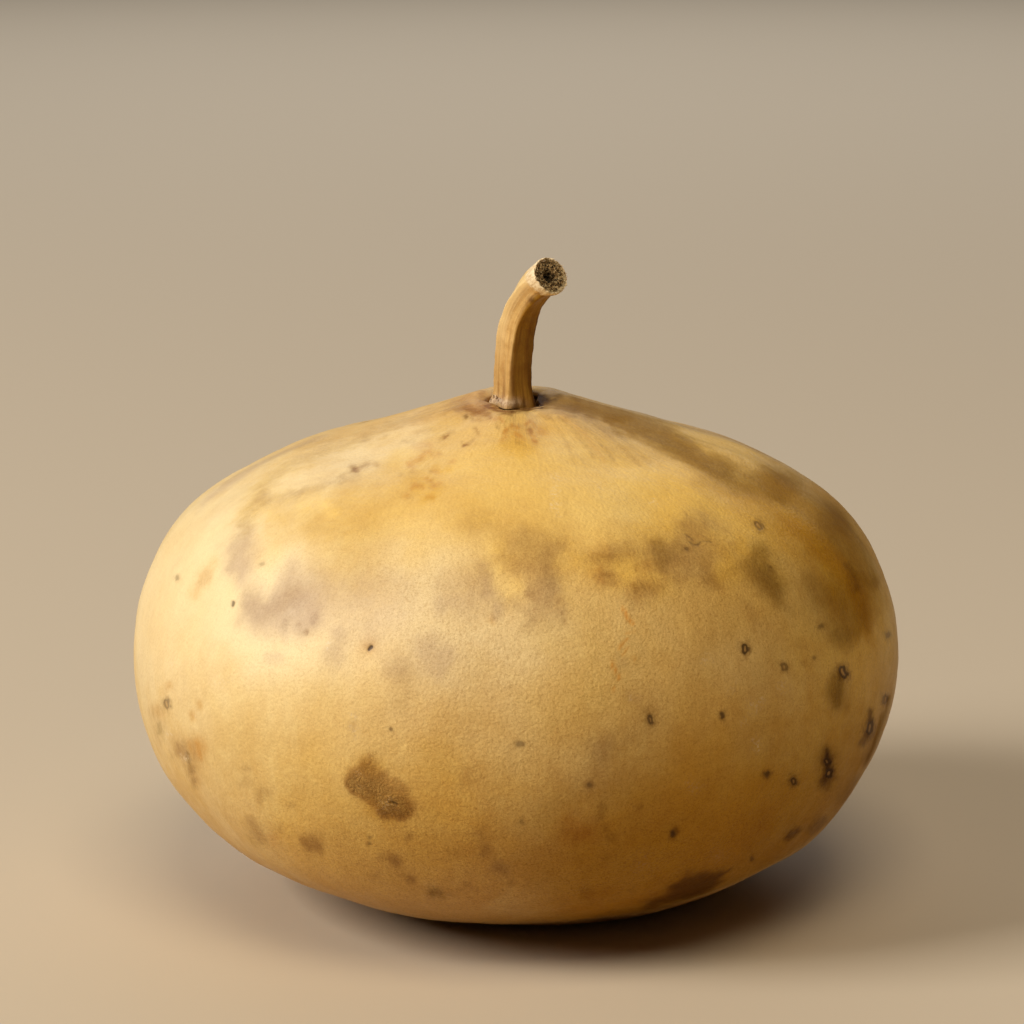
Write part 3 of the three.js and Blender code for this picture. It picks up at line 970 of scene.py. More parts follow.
# Marks on the sides that the photograph doesn't show, by place and kind. Each is a strength and a path
# of azimuth, elevation from the middle of the fruit, and radius in millimetres
unseenMarks = {
    "washes": {
        "cream": [(0.7, (150, 10, 22), (165, 22, 22), (178, 10, 18)), (0.45, (110, 30, 18), (88, 34, 16))],
        "gold": [
            (0.5, (130, -12, 24), (100, -10, 24), (70, 0, 24)), (0.45, (20, 26, 20), (44, 34, 20)),
            (0.7, (-6, 6, 24), (8, -6, 26), (14, -22, 20)),
        ],
        "rust": [
            (0.45, (20, -24, 22), (60, -30, 24), (100, -34, 22)), (0.35, (170, -34, 16), (140, -36, 18)),
        ],
        "amber": [(0.4, (0, -26, 22), (14, -28, 22)), (0.45, (-4, 24, 12), (10, 16, 13), (16, 4, 10))],
        "sun": [(0.5, (70, 40, 14), (120, 52, 12)), (0.4, (150, -2, 16), (40, 6, 16))],
        "ochre": [(0.5, (60, 12, 9), (64, 2, 10)), (0.5, (150, 34, 10), (160, 26, 8))],
        "mauve": [(0.4, (84, -14, 8), (90, -20, 8))],
    },
    "a dark band down the back, with a warm edge, and two thin ones": {
        "olive": [
            (0.66, (58, 78, 2.4), (62, 62, 4), (71, 48, 6.4), (74, 38, 8), (71, 26, 7), (74, 16, 5)),
            (0.4, (72, 18, 4.6), (78, 8, 3.4), (84, 0, 4.6)),
        ],
        "stain": [
            (0.4, (66, 48, 8), (66, 34, 10), (62, 22, 8)),
            (0.48, (128, 76, 1.5), (131, 62, 1.8), (138, 50, 2), (141, 38, 2.2), (138, 26, 2)),
            (0.42, (20, 70, 1.4), (16, 56, 1.7), (18, 44, 1.8), (14, 34, 1.6)),
        ],
        "dark": [(0.34, (66, 54, 2), (74, 40, 3.4), (71, 26, 3))],
        "gold": [(0.6, (84, 60, 8), (94, 46, 10), (92, 30, 10))],
        "rust": [(0.7, (79, 58, 3), (84, 44, 4.4), (86, 28, 4.6), (84, 12, 4))],
    },
    "a mauve blotch, a yellow and grey one, and a slanted one": {
        "mauve": [
            (0.9, (112, 22, 5), (118, 15, 7), (127, 14, 6.5), (133, 20, 4.5)),
            (0.5, (134, 12, 4), (142, 8, 5)),
        ],
        "stain": [
            (0.45, (108, 24, 1.2), (114, 29, 1.3), (122, 30, 1.3)), (0.5, (100, 38, 4.5), (108, 36, 5)),
            (0.65, (112, 37, 2), (113, 31, 2.2)), (0.62, (94, 2, 2.6), (97, -3, 3.4), (102, -7, 2.8)),
            (0.45, (105, -10, 1.8), (109, -14, 1.6)), (0.6, (41, 26, 2.6), (47, 26, 2.4)),
            (0.5, (37, 12, 3), (44, 11, 3.4), (50, 14, 2.4)),
        ],
        "purple": [(0.6, (121, 10, 1))],
        "ochre": [
            (0.85, (98, 46, 5), (106, 42, 6), (116, 42, 5)), (0.9, (104, 33, 2.4), (109, 31, 2)),
            (0.8, (34, 22, 4), (40, 18, 4.6), (47, 20, 3.6)), (0.9, (43, 15, 1.8)),
        ],
        "dark": [(0.45, (96, -1, 1.6), (100, -5, 1.6)), (0.45, (26, -7, 1.5), (30, -11, 1.3))],
        "olive": [(0.75, (24, -4, 2.4), (27, -8, 3), (31, -12, 2.6)), (0.5, (33, -16, 1.4), (36, -19, 1))],
    },
    "blotches of several tones behind": {
        "ochre": [(0.8, (84, 38, 6), (94, 34, 8), (102, 28, 6)), (0.7, (136, 2, 6), (142, -6, 6))],
        "stain": [
            (0.55, (86, 31, 5), (92, 24, 6.5), (100, 20, 5.5)), (0.45, (99, 30, 3), (104, 25, 3)),
            (0.45, (40, 16, 4.5), (36, 9, 4)), (0.34, (60, -8, 6), (66, -14, 6.5)), (0.65, (100, -28, 1.8)),
            (0.6, (112, -34, 2.2), (115, -35, 1.6)), (0.6, (75, -38, 2), (77, -39, 1.4)),
            (0.4, (150, 8, 4), (154, 2, 4)),
        ],
        "sun": [(0.7, (92, 29, 1.8), (95, 26, 2))],
        "purple": [(0.4, (90, 21, 1.6), (96, 18, 1.3))],
        "mauve": [(0.6, (80, 22, 5), (78, 14, 5), (84, 8, 4))],
        "olive": [
            (0.6, (44, 8, 3.4), (48, 2, 4.6), (52, -4, 3.4)),
            (0.55, (124, -5, 2.8), (127, -11, 3.8), (130, -17, 2.6)),
        ],
        "dark": [(0.4, (127, -10, 1.8), (129, -14, 1.4)), (0.5, (58, -36, 1.6), (61, -37, 1.3))],
        "rust": [(0.55, (108, -18, 8), (118, -26, 9)), (0.5, (66, -22, 9), (80, -30, 8))],
    },
    "the left side": {
        "stain": [
            (0.55, (170, 22, 3), (173, 14, 3.6), (171, 6, 2.6)), (0.4, (166, -15, 2.2), (163, -25, 2)),
        ],
        "mauve": [(0.7, (183, 30, 5), (178, 38, 5), (174, 46, 4))],
        "rust": [(0.5, (180, -16, 4), (175, -24, 4)), (0.65, (160, -4, 1.4), (158, -10, 1.2))],
        "dark": [(0.6, (166, -14, 0.6), (164, -19, 0.8), (163, -24, 0.6))],
    },
    "a corky scar and small stains behind": {
        "cork": [(1, (140, -18, 2.4), (142, -23, 4), (147, -28, 4.4))],
        "scab": [(0.8, (143, -30, 1.5), (149, -31, 1.5)), (0.5, (141, -21, 1.6))],
        "scurf": [(0.8, (145, -26, 2))],
        "stain": [(0.6, (66, -30, 1.6), (69, -32, 1.4)), (0.6, (118, -40, 1.6), (121, -42, 1.2))],
        "dark": [(0.45, (86, -44, 1.4), (90, -45, 1.6))],
        "mauve": [(0.7, (53, -16, 2), (56, -18, 1.6))],
        "orange": [(0.75, (84, 14, 0.4), (86, 10, 0.5), (85, 6, 0.4)), (0.6, (88, 4, 0.4), (89, 0, 0.4))],
        "crack": [(0.8, (110, 40, 0.3), (114, 39, 0.3))],
        "purple": [(0.7, (150, 52, 0.8), (156, 53, 0.6)), (0.55, (60, 84, 1), (90, 83, 1.2), (120, 84, 1))],
        "rust": [(0.6, (96, 78, 1.6), (108, 74, 2)), (0.55, (150, 62, 1.4), (154, 57, 1.4))],
        "ochre": [(0.7, (80, 66, 2.4), (92, 64, 2.4))],
        "pale": [
            (0.5, (96, 60, 1.2)), (0.5, (99, 55, 1.2)), (0.45, (62, 8, 1.4)), (0.45, (70, -6, 1.2)),
            (0.4, (150, 30, 1.6)), (0.45, (128, -4, 1.4)),
        ],
    },
    "the underside, with the scar of the blossom a little off the middle": {
        "dark": [(0.5, (96, -50, 3), (108, -54, 4.5), (120, -50, 3)), (0.4, (-30, -85, 5))],
        "stain": [
            (0.55, (150, -62, 5), (170, -66, 7), (196, -64, 5)),
            (0.45, (-20, -72, 6), (-60, -78, 8), (-110, -74, 7)),
        ],
        "rust": [(0.6, (30, -62, 8), (60, -66, 9), (96, -70, 8), (150, -76, 8))],
        "cork": [(1, (-30, -86, 2.6), (-24, -85, 2.2))],
        "scab": [(0.8, (-30, -86, 1.2))],
    },
}

unseenPits = {
    "seed": 17,
    "rings": 18,
    "dots": 32,
    "ringRadius": (0.6, 0.95),
    "length": (0.0, 0.6),           # degrees
    "dotRadius": (0.4, 0.75),
    "taper": (0.8, 1.0),
    "strength": (0.5, 1.0),
}


def scatterPits(settings):
    # seeded small rings and dots on the back, the sides and the underside, some a little drawn out
    random = np.random.default_rng(settings["seed"])
    found = []
    for kind, count, sizes in (("ring", settings["rings"], settings["ringRadius"]),
                               ("dot", settings["dots"], settings["dotRadius"])):
        for _ in range(count):
            azimuth = random.uniform(8, 172)
            elevation = random.uniform(-62, 34)
            if random.random() < 0.22:
                azimuth, elevation = random.uniform(0, 360), random.uniform(-78, -46)
            radius = random.uniform(*sizes)
            lean, rise = random.uniform(-0.3, 0.3), random.uniform(*settings["length"])
            end = (azimuth + lean, elevation + rise, radius * random.uniform(*settings["taper"]))
            path = [(azimuth, elevation, radius), end]
            found.append((kind, random.uniform(*settings["strength"]), path))
    return found


# How each kind is drawn: how sharp its edge is, how far beyond its radius it reaches, how uneven its
# edge is, how far its middle is sunk in millimetres, and how much wider than its radius it is drawn
markKinds = {
    "cream": {"sharp": 2.0, "reach": 2.2, "ragged": 0.5, "sink": 0.0, "spread": 1.1},
    "sun": {"sharp": 2.0, "reach": 2.2, "ragged": 0.5, "sink": 0.0, "spread": 1.1},
    "amber": {"sharp": 2.0, "reach": 2.2, "ragged": 0.4, "sink": 0.0, "spread": 1.1},
    "gold": {"sharp": 2.0, "reach": 2.2, "ragged": 0.5, "sink": 0.0, "spread": 1.1},
    "rust": {"sharp": 2.0, "reach": 2.2, "ragged": 0.36, "sink": 0.0, "spread": 1.2},
    "ochre": {"sharp": 2.6, "reach": 2.1, "ragged": 0.4, "sink": 0.0, "spread": 1.25},
    "mauve": {"sharp": 2.8, "reach": 2.0, "ragged": 0.36, "sink": 0.0, "spread": 1.2},
    "stain": {"sharp": 2.8, "reach": 2.1, "ragged": 0.5, "sink": 0.03, "spread": 1.15},
    "olive": {"sharp": 3.0, "reach": 2.0, "ragged": 0.26, "sink": 0.05, "spread": 1.15},
    "dark": {"sharp": 2.2, "reach": 2.0, "ragged": 0.3, "sink": 0.06, "spread": 1.15},
    "purple": {"sharp": 2.2, "reach": 2.0, "ragged": 0.4, "sink": 0.05, "spread": 1.2},
    "cork": {"sharp": 3.6, "reach": 1.7, "ragged": 0.26, "sink": 0.16, "spread": 1.0},
    "scab": {"sharp": 2.2, "reach": 2.0, "ragged": 0.4, "sink": 0.06, "spread": 1.1},
    "scurf": {"sharp": 2.2, "reach": 2.0, "ragged": 0.4, "sink": -0.06, "spread": 1.1},
    "orange": {"sharp": 2.2, "reach": 2.0, "ragged": 0.4, "sink": 0.03, "spread": 1.0},
    "crack": {"sharp": 2.2, "reach": 2.0, "ragged": 0.3, "sink": 0.12, "spread": 1.0},
    "pale": {"sharp": 2.0, "reach": 2.0, "ragged": 0.5, "sink": 0.0, "spread": 1.2},
    "ring": {"reach": 4.6, "ragged": 0.28, "spread": 1.0},
    "dot": {"reach": 3.2, "ragged": 0.28, "spread": 1.0},
    "hole": {"reach": 3.2, "ragged": 0.4, "spread": 1.0},
}
pitKinds = ("ring", "dot", "hole")

# The mesh is divided once at a mark whose radius is below small millimetres, and twice at one of the
# sharp kinds below tiny. It is divided out to past times the radius, and a margin in millimetres
sharpKinds = (*pitKinds, "crack")
divisions = {"small": 1.3, "tiny": 0.95, "past": 1.1, "margin": 0.1, "tinyMargin": 0.6, "most": 2}

# Marks read off the picture are drawn where they look as they do there, so they are measured in its
# pixels, and fade out where the rind turns away from the eye
turnedAway = (0.03, 0.16)


def eachMark(places):
    return [(kind, strength, path) for kinds in places.values()
            for kind, entries in kinds.items() for strength, *path in entries]


def gatherMarks():
    inPicture = eachMark(seenMarks) + eachMark(seenPits)
    hidden = eachMark(unseenMarks) + scatterPits(unseenPits)
    found = [(kind, strength, np.array(path, float)) for kind, strength, path in inPicture]
    return found + [(kind, strength, onRindFromInside(path)) for kind, strength, path in hidden]


marks = gatherMarks()
print("marks placed:", len(marks))


def pathRatio(points, path):
    # distance to the nearest part of the path, over the path's radius there; the last column is radius
    if len(path) == 1:
        return np.linalg.norm(points - path[0, :-1], axis=1) / path[0, -1]
    best = np.full(len(points), np.inf)
    for start, end in zip(path[:-1], path[1:]):
        line = end[:-1] - start[:-1]
        share = np.clip((points - start[:-1]) @ line / max(line @ line, 1e-9), 0, 1)
        gap = np.linalg.norm(points - start[:-1] - share[:, None] * line, axis=1)
        best = np.minimum(best, gap / (start[-1] + (end[-1] - start[-1]) * share))
    return best


def drawMarks(cylinder):
    # for each kind a field that is strength in the middle of a mark and falls as e to the minus
    # 0.69 * ratio^sharp, where marks of one kind that overlap add up without passing 1; for pits the
    # field falls evenly instead, 1 - ratio / reach. Also how often the mesh is to be divided
    onSurface = placed(cylinder)
    facing = facingEye(cylinder)
    inPicture = pixelsOf(onSurface)
    inPicture[facing < turnedAway[0]] = -1e4
    seen = smoothStep(*turnedAway, facing)
    pixelsPerMm = viewpoint["focalPixels"] / viewpoint["distance"]
    warps = {size: np.column_stack([waveNoise(onSurface, size, seed + int(size * 10)) for seed in (1, 2, 3)])
             for size in (14.0, 5.0, 1.8)}
    fields = {kind: np.zeros(len(cylinder)) for kind in markKinds}
    fields["pitStrength"] = np.zeros(len(cylinder))
    detail = np.zeros(len(cylinder))
    for kind, strength, path in marks:
        settings = markKinds[kind]
        flat = path.shape[1] == 3
        points, unit = (inPicture, pixelsPerMm) if flat else (onSurface, 1.0)
        path = path * np.append(np.ones(path.shape[1] - 1), settings["spread"])
        widest = path[:, -1].max()
        middle = path[:, :-1].mean(axis=0)
        halfLength = np.linalg.norm(path[:, :-1] - middle, axis=1).max()
        extent = halfLength + widest * (settings["reach"] + 0.8) + 3 * unit
        near = np.nonzero(np.linalg.norm(points - middle, axis=1) < extent)[0]
        if len(near) == 0:
            continue
        moved = points[near].copy()
        for size, warp in warps.items():
            if size * unit < widest * 6:
                amount = settings["ragged"] * min(widest * 0.8, size * unit * 0.3)
                moved += warp[near, :moved.shape[1]] * amount
        ratio = pathRatio(moved, path)
        shown = seen[near] if flat else 1.0
        if kind in pitKinds:
            value = np.clip(1 - ratio / settings["reach"], 0, 1)
            stronger = value > fields[kind][near]
            fields[kind][near] = np.where(stronger, value, fields[kind][near])
            held = strength * shown * np.ones(len(near))
            fields["pitStrength"][near] = np.where(stronger & (value > 0), held, fields["pitStrength"][near])
        else:
            value = strength * shown * np.exp(-0.69 * ratio ** settings["sharp"])
            fields[kind][near] = 1 - (1 - fields[kind][near]) * (1 - value)
        small = widest < divisions["small"] * unit
        tiny = widest < divisions["tiny"] * unit
        margin = divisions["tinyMargin" if tiny else "margin"]
        within = ratio < divisions["past"] + margin * unit / widest
        times = int(small) + int(tiny and kind in sharpKinds)
        detail[near] = np.maximum(detail[near], within * times)
    return fields, detail


def meshArray(items, key, width, kind=np.float32):
    # one property of all points, edges, corners or faces of a mesh
    values = np.empty(len(items) * width, kind)
    items.foreach_get(key, values)
    return values.reshape(-1, width) if width > 1 else values


def refineRind(cylinder, faces):
    # a face is divided if a point of it lies on a mark that asks for more divisions than it has had
    mesh = bpy.data.meshes.new("rindShell")
    mesh.from_pydata(cylinder.tolist(), [], faces)
    for level in range(divisions["most"]):
        detail = drawMarks(meshArray(mesh.vertices, "co", 3).astype(float))[1]
        corners = meshArray(mesh.loops, "vertex_index", 1, np.int32)
        sides = meshArray(mesh.loops, "edge_index", 1, np.int32)
        starts = meshArray(mesh.polygons, "loop_start", 1, np.int32)
        totals = meshArray(mesh.polygons, "loop_total", 1, np.int32)
        dividedFaces = np.maximum.reduceat(detail[corners], starts) > level
        dividedEdges = np.zeros(len(mesh.edges), bool)
        dividedEdges[sides[np.repeat(dividedFaces, totals)]] = True
        work = bmesh.new()
        work.from_mesh(mesh)
        work.edges.ensure_lookup_table()
        chosen = [work.edges[index] for index in np.nonzero(dividedEdges)[0]]
        bmesh.ops.subdivide_edges(work, edges=chosen, cuts=1, use_grid_fill=True)
        work.to_mesh(mesh)
        work.free()
    return mesh, meshArray(mesh.vertices, "co", 3).astype(float)


rindMesh, rindCylinder = refineRind(rindPoints, rindFaces)
rindTriangles = len(rindMesh.loops) - 2 * len(rindMesh.polygons)
print("rind divided to", len(rindMesh.polygons), "faces,", rindTriangles, "triangles")

rindRelief = {
    "broad": (46.0, 0.32),          # wavelength and height of soft dents
    "upright": (34.0, 0.24),        # broad folds that run up and down
    "middling": (13.0, 0.09),
    "small": (5.0, 0.03),
    "leather": (2.9, 0.006),
    "crownRays": 0.10,              # fine folds that gather at the stem
    "crownRayWidth": 3.4,           # degrees
    "corkRough": 0.06,
    "corkRim": 0.10,
    "ringRim": 0.07,
    "ringPit": 0.12,
    "dotPit": 0.10,
    "holePit": 0.25,
}


def relief(points, cylinder, fields):
    # how far each point moves out along the normal: soft dents, upright folds, rays round the stem, and
    # the forms of the marks
    azimuth = np.arctan2(cylinder[:, 1], cylinder[:, 0])
    away = np.hypot(points[:, 0], points[:, 1])
    size, height = rindRelief["broad"]
    total = height * waveNoise(points, size, 11)
    size, height = rindRelief["upright"]
    around = np.column_stack([105 * np.cos(azimuth), 105 * np.sin(azimuth), points[:, 2] * 0.3])
    total += height * waveNoise(around, size, 12) * smoothStep(20, 70, away)
    for seed, key in enumerate(("middling", "small", "leather"), 13):
        size, height = rindRelief[key]
        total += height * waveNoise(points, size, seed, 26 if size > 4 else 40)
    turning = np.column_stack([np.cos(azimuth), np.sin(azimuth), away * 0.004])
    rays = waveNoise(turning, rindRelief["crownRayWidth"] * degree * 4, 17, 40)
    upper = smoothStep(120, 130, points[:, 2])
    total += rindRelief["crownRays"] * rays * upper * hump(away, 17, 13)
    total *= smoothStep(9.5, 16, away + (points[:, 2] < 60) * 30) * smoothStep(0, 3, points[:, 2])

    for kind, settings in markKinds.items():
        if kind not in pitKinds:
            total -= settings["sink"] * fields[kind]
    crumbs = waveNoise(points, 2.1, 21) + 0.8 * waveNoise(points, 1.1, 22)
    total += rindRelief["corkRough"] * smoothStep(0.3, 0.7, fields["cork"]) * crumbs
    total += rindRelief["corkRim"] * hump(fields["cork"], 0.42, 0.2)
    ratios = {kind: (1 - fields[kind]) * markKinds[kind]["reach"] for kind in pitKinds}
    deep = 0.4 + 0.6 * fields["pitStrength"]
    total += rindRelief["ringRim"] * deep * hump(ratios["ring"], 1.5, 0.4)
    total -= rindRelief["ringPit"] * deep * hump(ratios["ring"], 0.9, 0.35)
    total -= rindRelief["dotPit"] * deep * hump(ratios["dot"], 0, 0.9)
    total -= rindRelief["holePit"] * deep * hump(ratios["hole"], 0, 0.75)
    return total


# Rind material

rindLook = {
    "base": tone(229, 191, 114),
    "baseBeige": tone(233, 203, 140),
    "baseDeep": tone(204, 158, 81),
    # cream and sun are partly painted highlight, where the washes lay them on the lit left and along the top
    "cream": tone(248, 228, 184),
    "sun": tone(250, 212, 124),
    # the gold, amber and rust tints are partly painted shade, where the washes lay them on the right side and
    # low down
    "goldTint": (1.0, 0.92, 0.50, 1.0),
    "ochreTint": (0.95, 0.88, 0.58, 1.0),
    "rustTint": (0.74, 0.52, 0.24, 1.0),
    "amberTint": (0.62, 0.47, 0.08, 1.0),
    "mauveTint": (0.66, 0.61, 0.68, 1.0),
    "stainTint": (0.53, 0.44, 0.37, 1.0),
    "oliveTint": (0.42, 0.35, 0.21, 1.0),
    "darkTint": (0.26, 0.19, 0.08, 1.0),
    "purpleTint": (0.38, 0.25, 0.20, 1.0),
    # the crease tint is painted shade under the stem's foot
    "creaseTint": (0.30, 0.20, 0.15, 1.0),
    "corkTint": (0.68, 0.58, 0.49, 1.0),
    "corkEdge": (0.80, 0.72, 0.64, 1.0),
    "scabTint": (0.50, 0.42, 0.36, 1.0),
    "scurfTint": tone(196, 164, 122),
    "speckTint": (0.70, 0.60, 0.48, 1.0),
    # the low tint is painted shade: the rind darker and warmer towards the base
    "lowShadeTint": (0.75, 0.60, 0.40, 1.0),
    "crownTint": (0.76, 0.66, 0.44, 1.0),
    "haloTint": (0.52, 0.45, 0.38, 1.0),
    "ink": tone(50, 32, 16),
    "ringHeart": tone(188, 140, 80),
    "orange": tone(208, 134, 30),
    "pale": tone(244, 226, 192),
    "roughness": 0.45,
    "gloss": 0.08,
    "wax": 0.36,                    # the natural wax on the rind, which the marks lack
    "waxRoughness": 0.44,
    "grainDepth": 0.00027,          # metres
}

# Mottles of the rind: scale per millimetre, detail, roughness, the levels of noise that count as none
# and full, and how twisted it is
rindMottles = {
    "broad": (0.022, 3.0, 0.5, 0.36, 0.64, 0.6),
    "middling": (0.10, 5.0, 0.6, 0.33, 0.67, 0.4),
    "patches": (0.38, 4.0, 0.6, 0.3, 0.7),
    "fine": (1.7, 3.0, 0.6, 0.3, 0.7),
    "pores": (1.3, 5.0, 0.78, 0.50, 0.64),
    "grit": (2.6, 3.0, 0.7, 0.46, 0.60),
    "crumbs": (1.5, 5.0, 0.65, 0.38, 0.62),
    "flecks": (2.2, 3.0, 0.6, 0.50, 0.64),
    "whitish": (1.3, 3.0, 0.65, 0.47, 0.62),
}

# Stains in the order in which they tint the rind: how finely their edges break up, and how much
rindStains = {
    "gold": (0.06, 0.25),
    "amber": (0.06, 0.2),
    "ochre": (0.24, 0.7),
    "rust": (0.24, 0.5),
    "mauve": (0.24, 0.45),
    "stain": (0.40, 0.75),
    "olive": (0.24, 0.4),
    "dark": (0.40, 0.8),
    "purple": (0.90, 0.7),
}


def makeRindMaterial(look):
    material, tree, shader, place = startMaterial("driedRind")
    grain = addNode(tree, "ShaderNodeAttribute", attribute_name="grain").outputs["Vector"]
    streaks, streakHeight = fibresOn(tree, grain, 0.8, 0.16)
    fields = {kind: readField(tree, kind) for kind in (*markKinds, "pitStrength", "crease")}
    mottles = {name: mottle(tree, place, *values) for name, values in rindMottles.items()}

    def mask(kind, scale, patchiness):
        return patchyField(tree, place, fields[kind], scale, patchiness)

    def times(*values):
        return product(tree, *values)

    def tinted(colour, share, name):
        return blend(tree, share, colour, look[name], "MULTIPLY")

    # the bare rind: broad and middling patches of tone, faint streaks that run up and down, and a fine
    # leathery mottle
    colour = blend(tree, mottles["broad"], look["base"], look["baseBeige"])
    colour = blend(tree, times(mottles["middling"], 0.30), colour, look["baseDeep"])
    colour = blend(tree, times(streaks, 0.24), colour, look["baseDeep"])
    colour = tinted(colour, times(mottles["patches"], 0.24), "speckTint")
    across, _, height = addNode(tree, "ShaderNodeSeparateXYZ", {0: place}).outputs
    # painted shade: darker and warmer low down, below 58 mm
    colour = tinted(colour, times(remap(tree, height, 58.0, 6.0), 0.57), "lowShadeTint")
    colour = tinted(colour, remap(tree, height, 100.0, 126.0, 0.0, 0.34), "crownTint")

    # sun and cream: partly painted highlight on the lit left and along the top
    colour = blend(tree, times(mask("sun", 0.24, 0.5), 0.8), colour, look["sun"])
    colour = blend(tree, times(mask("cream", 0.06, 0.3), 0.8), colour, look["cream"])
    # gold, amber and rust are partly painted shade on the right side and low down
    for kind, (scale, patchiness) in rindStains.items():
        colour = tinted(colour, mask(kind, scale, patchiness), kind + "Tint")
    # painted shade in the crease where the rind meets the stem's foot
    colour = tinted(colour, times(fields["crease"], 0.85), "creaseTint")

    # the specks fade towards the crown and the left, and are strongest low down
    belly = times(remap(tree, height, 126.0, 104.0, 0.15, 1.0), remap(tree, across, -92.0, -12.0, 0.3, 1.0),
                  remap(tree, height, 62.0, 24.0, 1.0, 1.7))
    for name, share in (("fine", 0.26), ("pores", 0.40), ("grit", 0.26)):
        colour = tinted(colour, times(mottles[name], belly, share), "speckTint")

    corkMask = mask("cork", 0.40, 0.7)
    corkRing = times(remap(tree, fields["cork"], 0.08, 0.5), remap(tree, fields["cork"], 0.98, 0.6))
    colour = tinted(colour, corkMask, "corkTint")
    colour = tinted(colour, times(corkMask, mottles["crumbs"], 0.45), "scabTint")
    colour = tinted(colour, corkRing, "corkEdge")
    colour = tinted(colour, mask("scab", 0.9, 0.9), "scabTint")
    colour = blend(tree, times(mask("scurf", 0.9, 0.8), mottles["flecks"], 0.8), colour, look["scurfTint"])

    # pits: a dark ring round a paler heart with a soft halo, a dark dot, or a hole
    strong = fields["pitStrength"]
    ratios = {kind: times(maths(tree, "SUBTRACT", 1.0, fields[kind]), markKinds[kind]["reach"])
              for kind in pitKinds}
    uneven = remap(tree, noise(tree, place, 0.6, 2.0, 0.5), 0.3, 0.7, 0.78, 1.22)
    ring = times(ratios["ring"], uneven)
    colour = tinted(colour, times(remap(tree, ring, 4.4, 0.9), strong, 0.95), "haloTint")
    colour = blend(tree, times(remap(tree, ring, 0.7, 0.3), strong, 0.5), colour, look["ringHeart"])
    inked = times(remap(tree, ring, 1.9, 1.15), remap(tree, ring, 0.1, 0.65), strong, 0.74)
    colour = blend(tree, inked, colour, look["ink"])
    dot = times(ratios["dot"], uneven)
    colour = tinted(colour, times(remap(tree, dot, 3.1, 0.6), strong, 0.8), "haloTint")
    colour = blend(tree, times(remap(tree, dot, 1.6, 0.5), strong, 0.8), colour, look["ink"])
    hole = ratios["hole"]
    colour = tinted(colour, times(remap(tree, hole, 3.1, 0.9), 0.5), "haloTint")
    colour = blend(tree, times(remap(tree, hole, 1.6, 0.7), strong), colour, look["ink"])

    colour = blend(tree, mask("orange", 0.90, 0.6), colour, look["orange"])
    colour = blend(tree, mask("crack", 0.90, 0.8), colour, look["ink"])
    colour = blend(tree, times(mask("pale", 0.9, 0.9), mottles["whitish"], 0.9), colour, look["pale"])
    tree.links.new(colour, shader.inputs["Base Color"])

    rough = remap(tree, mottles["middling"], 0.0, 1.0, look["roughness"] - 0.05, look["roughness"] + 0.06)
    dirt = maths(tree, "MAXIMUM", fields["stain"], maths(tree, "MAXIMUM", fields["olive"], fields["cork"]))
    rough = maths(tree, "ADD", rough, times(dirt, 0.18), clamp=True)
    tree.links.new(rough, shader.inputs["Roughness"])
    dull = fields["amber"]
    for kind in ("olive", "dark", "purple", "cork", "crease"):
        dull = maths(tree, "MAXIMUM", dull, fields[kind])
    tree.links.new(remap(tree, dull, 0.0, 0.9, look["wax"], 0.0), shader.inputs["Coat Weight"])
    shader.inputs["Coat Roughness"].default_value = look["waxRoughness"]
    shader.inputs["Specular IOR Level"].default_value = look["gloss"]

    leather = noise(tree, place, 0.92, 6.0, 0.72)
    wrinkles = noise(tree, stretch(tree, grain, 1.0, 1.0, 0.7), 0.35, 2.0, 0.5)
    pebbles = addNode(tree, "ShaderNodeTexVoronoi", {"Vector": place, "Scale": 1.05}).outputs["Distance"]
    heights = times(leather, belly)
    for part in (times(wrinkles, 0.5), times(pebbles, -0.30), times(streakHeight, 0.2),
                 times(mottles["crumbs"], corkMask)):
        heights = maths(tree, "ADD", heights, part)
    bump = addNode(tree, "ShaderNodeBump",
                   {"Strength": 1.0, "Distance": look["grainDepth"], "Height": heights})
    tree.links.new(bump.outputs["Normal"], shader.inputs["Normal"])
    return material


def makeRind():
    points = placed(rindCylinder)
    fields = drawMarks(rindCylinder)[0]
    azimuth = np.arctan2(rindCylinder[:, 1], rindCylinder[:, 0])
    fine, lengths = meridianLength()
    along = np.interp(rindCylinder[:, 2], fine, lengths)
    fields["grain"] = np.column_stack([105 * np.cos(azimuth), 105 * np.sin(azimuth), along])
    fields["crease"] = smoothStep(*rind["crease"], rindCylinder[:, 2] * (len(rind["profile"]) - 1))
    rindMesh.vertices.foreach_set("co", points.astype(np.float32).ravel())
    rindMesh.update()
    normals = meshArray(rindMesh.vertex_normals, "vector", 3)
    points = points + normals * relief(points, rindCylinder, fields)[:, None]
    points[:, 2] = np.maximum(points[:, 2], 0)
    rindMesh.vertices.foreach_set("co", (points * mm).astype(np.float32).ravel())
    piece = dressMesh("rindShell", rindMesh, fields, makeRindMaterial(rindLook))
    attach(piece, "root")
    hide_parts("gourd")
    return piece


rindPiece = makeRind()
print("rind made:", len(rindPiece.data.vertices), "points")


# Stem shape

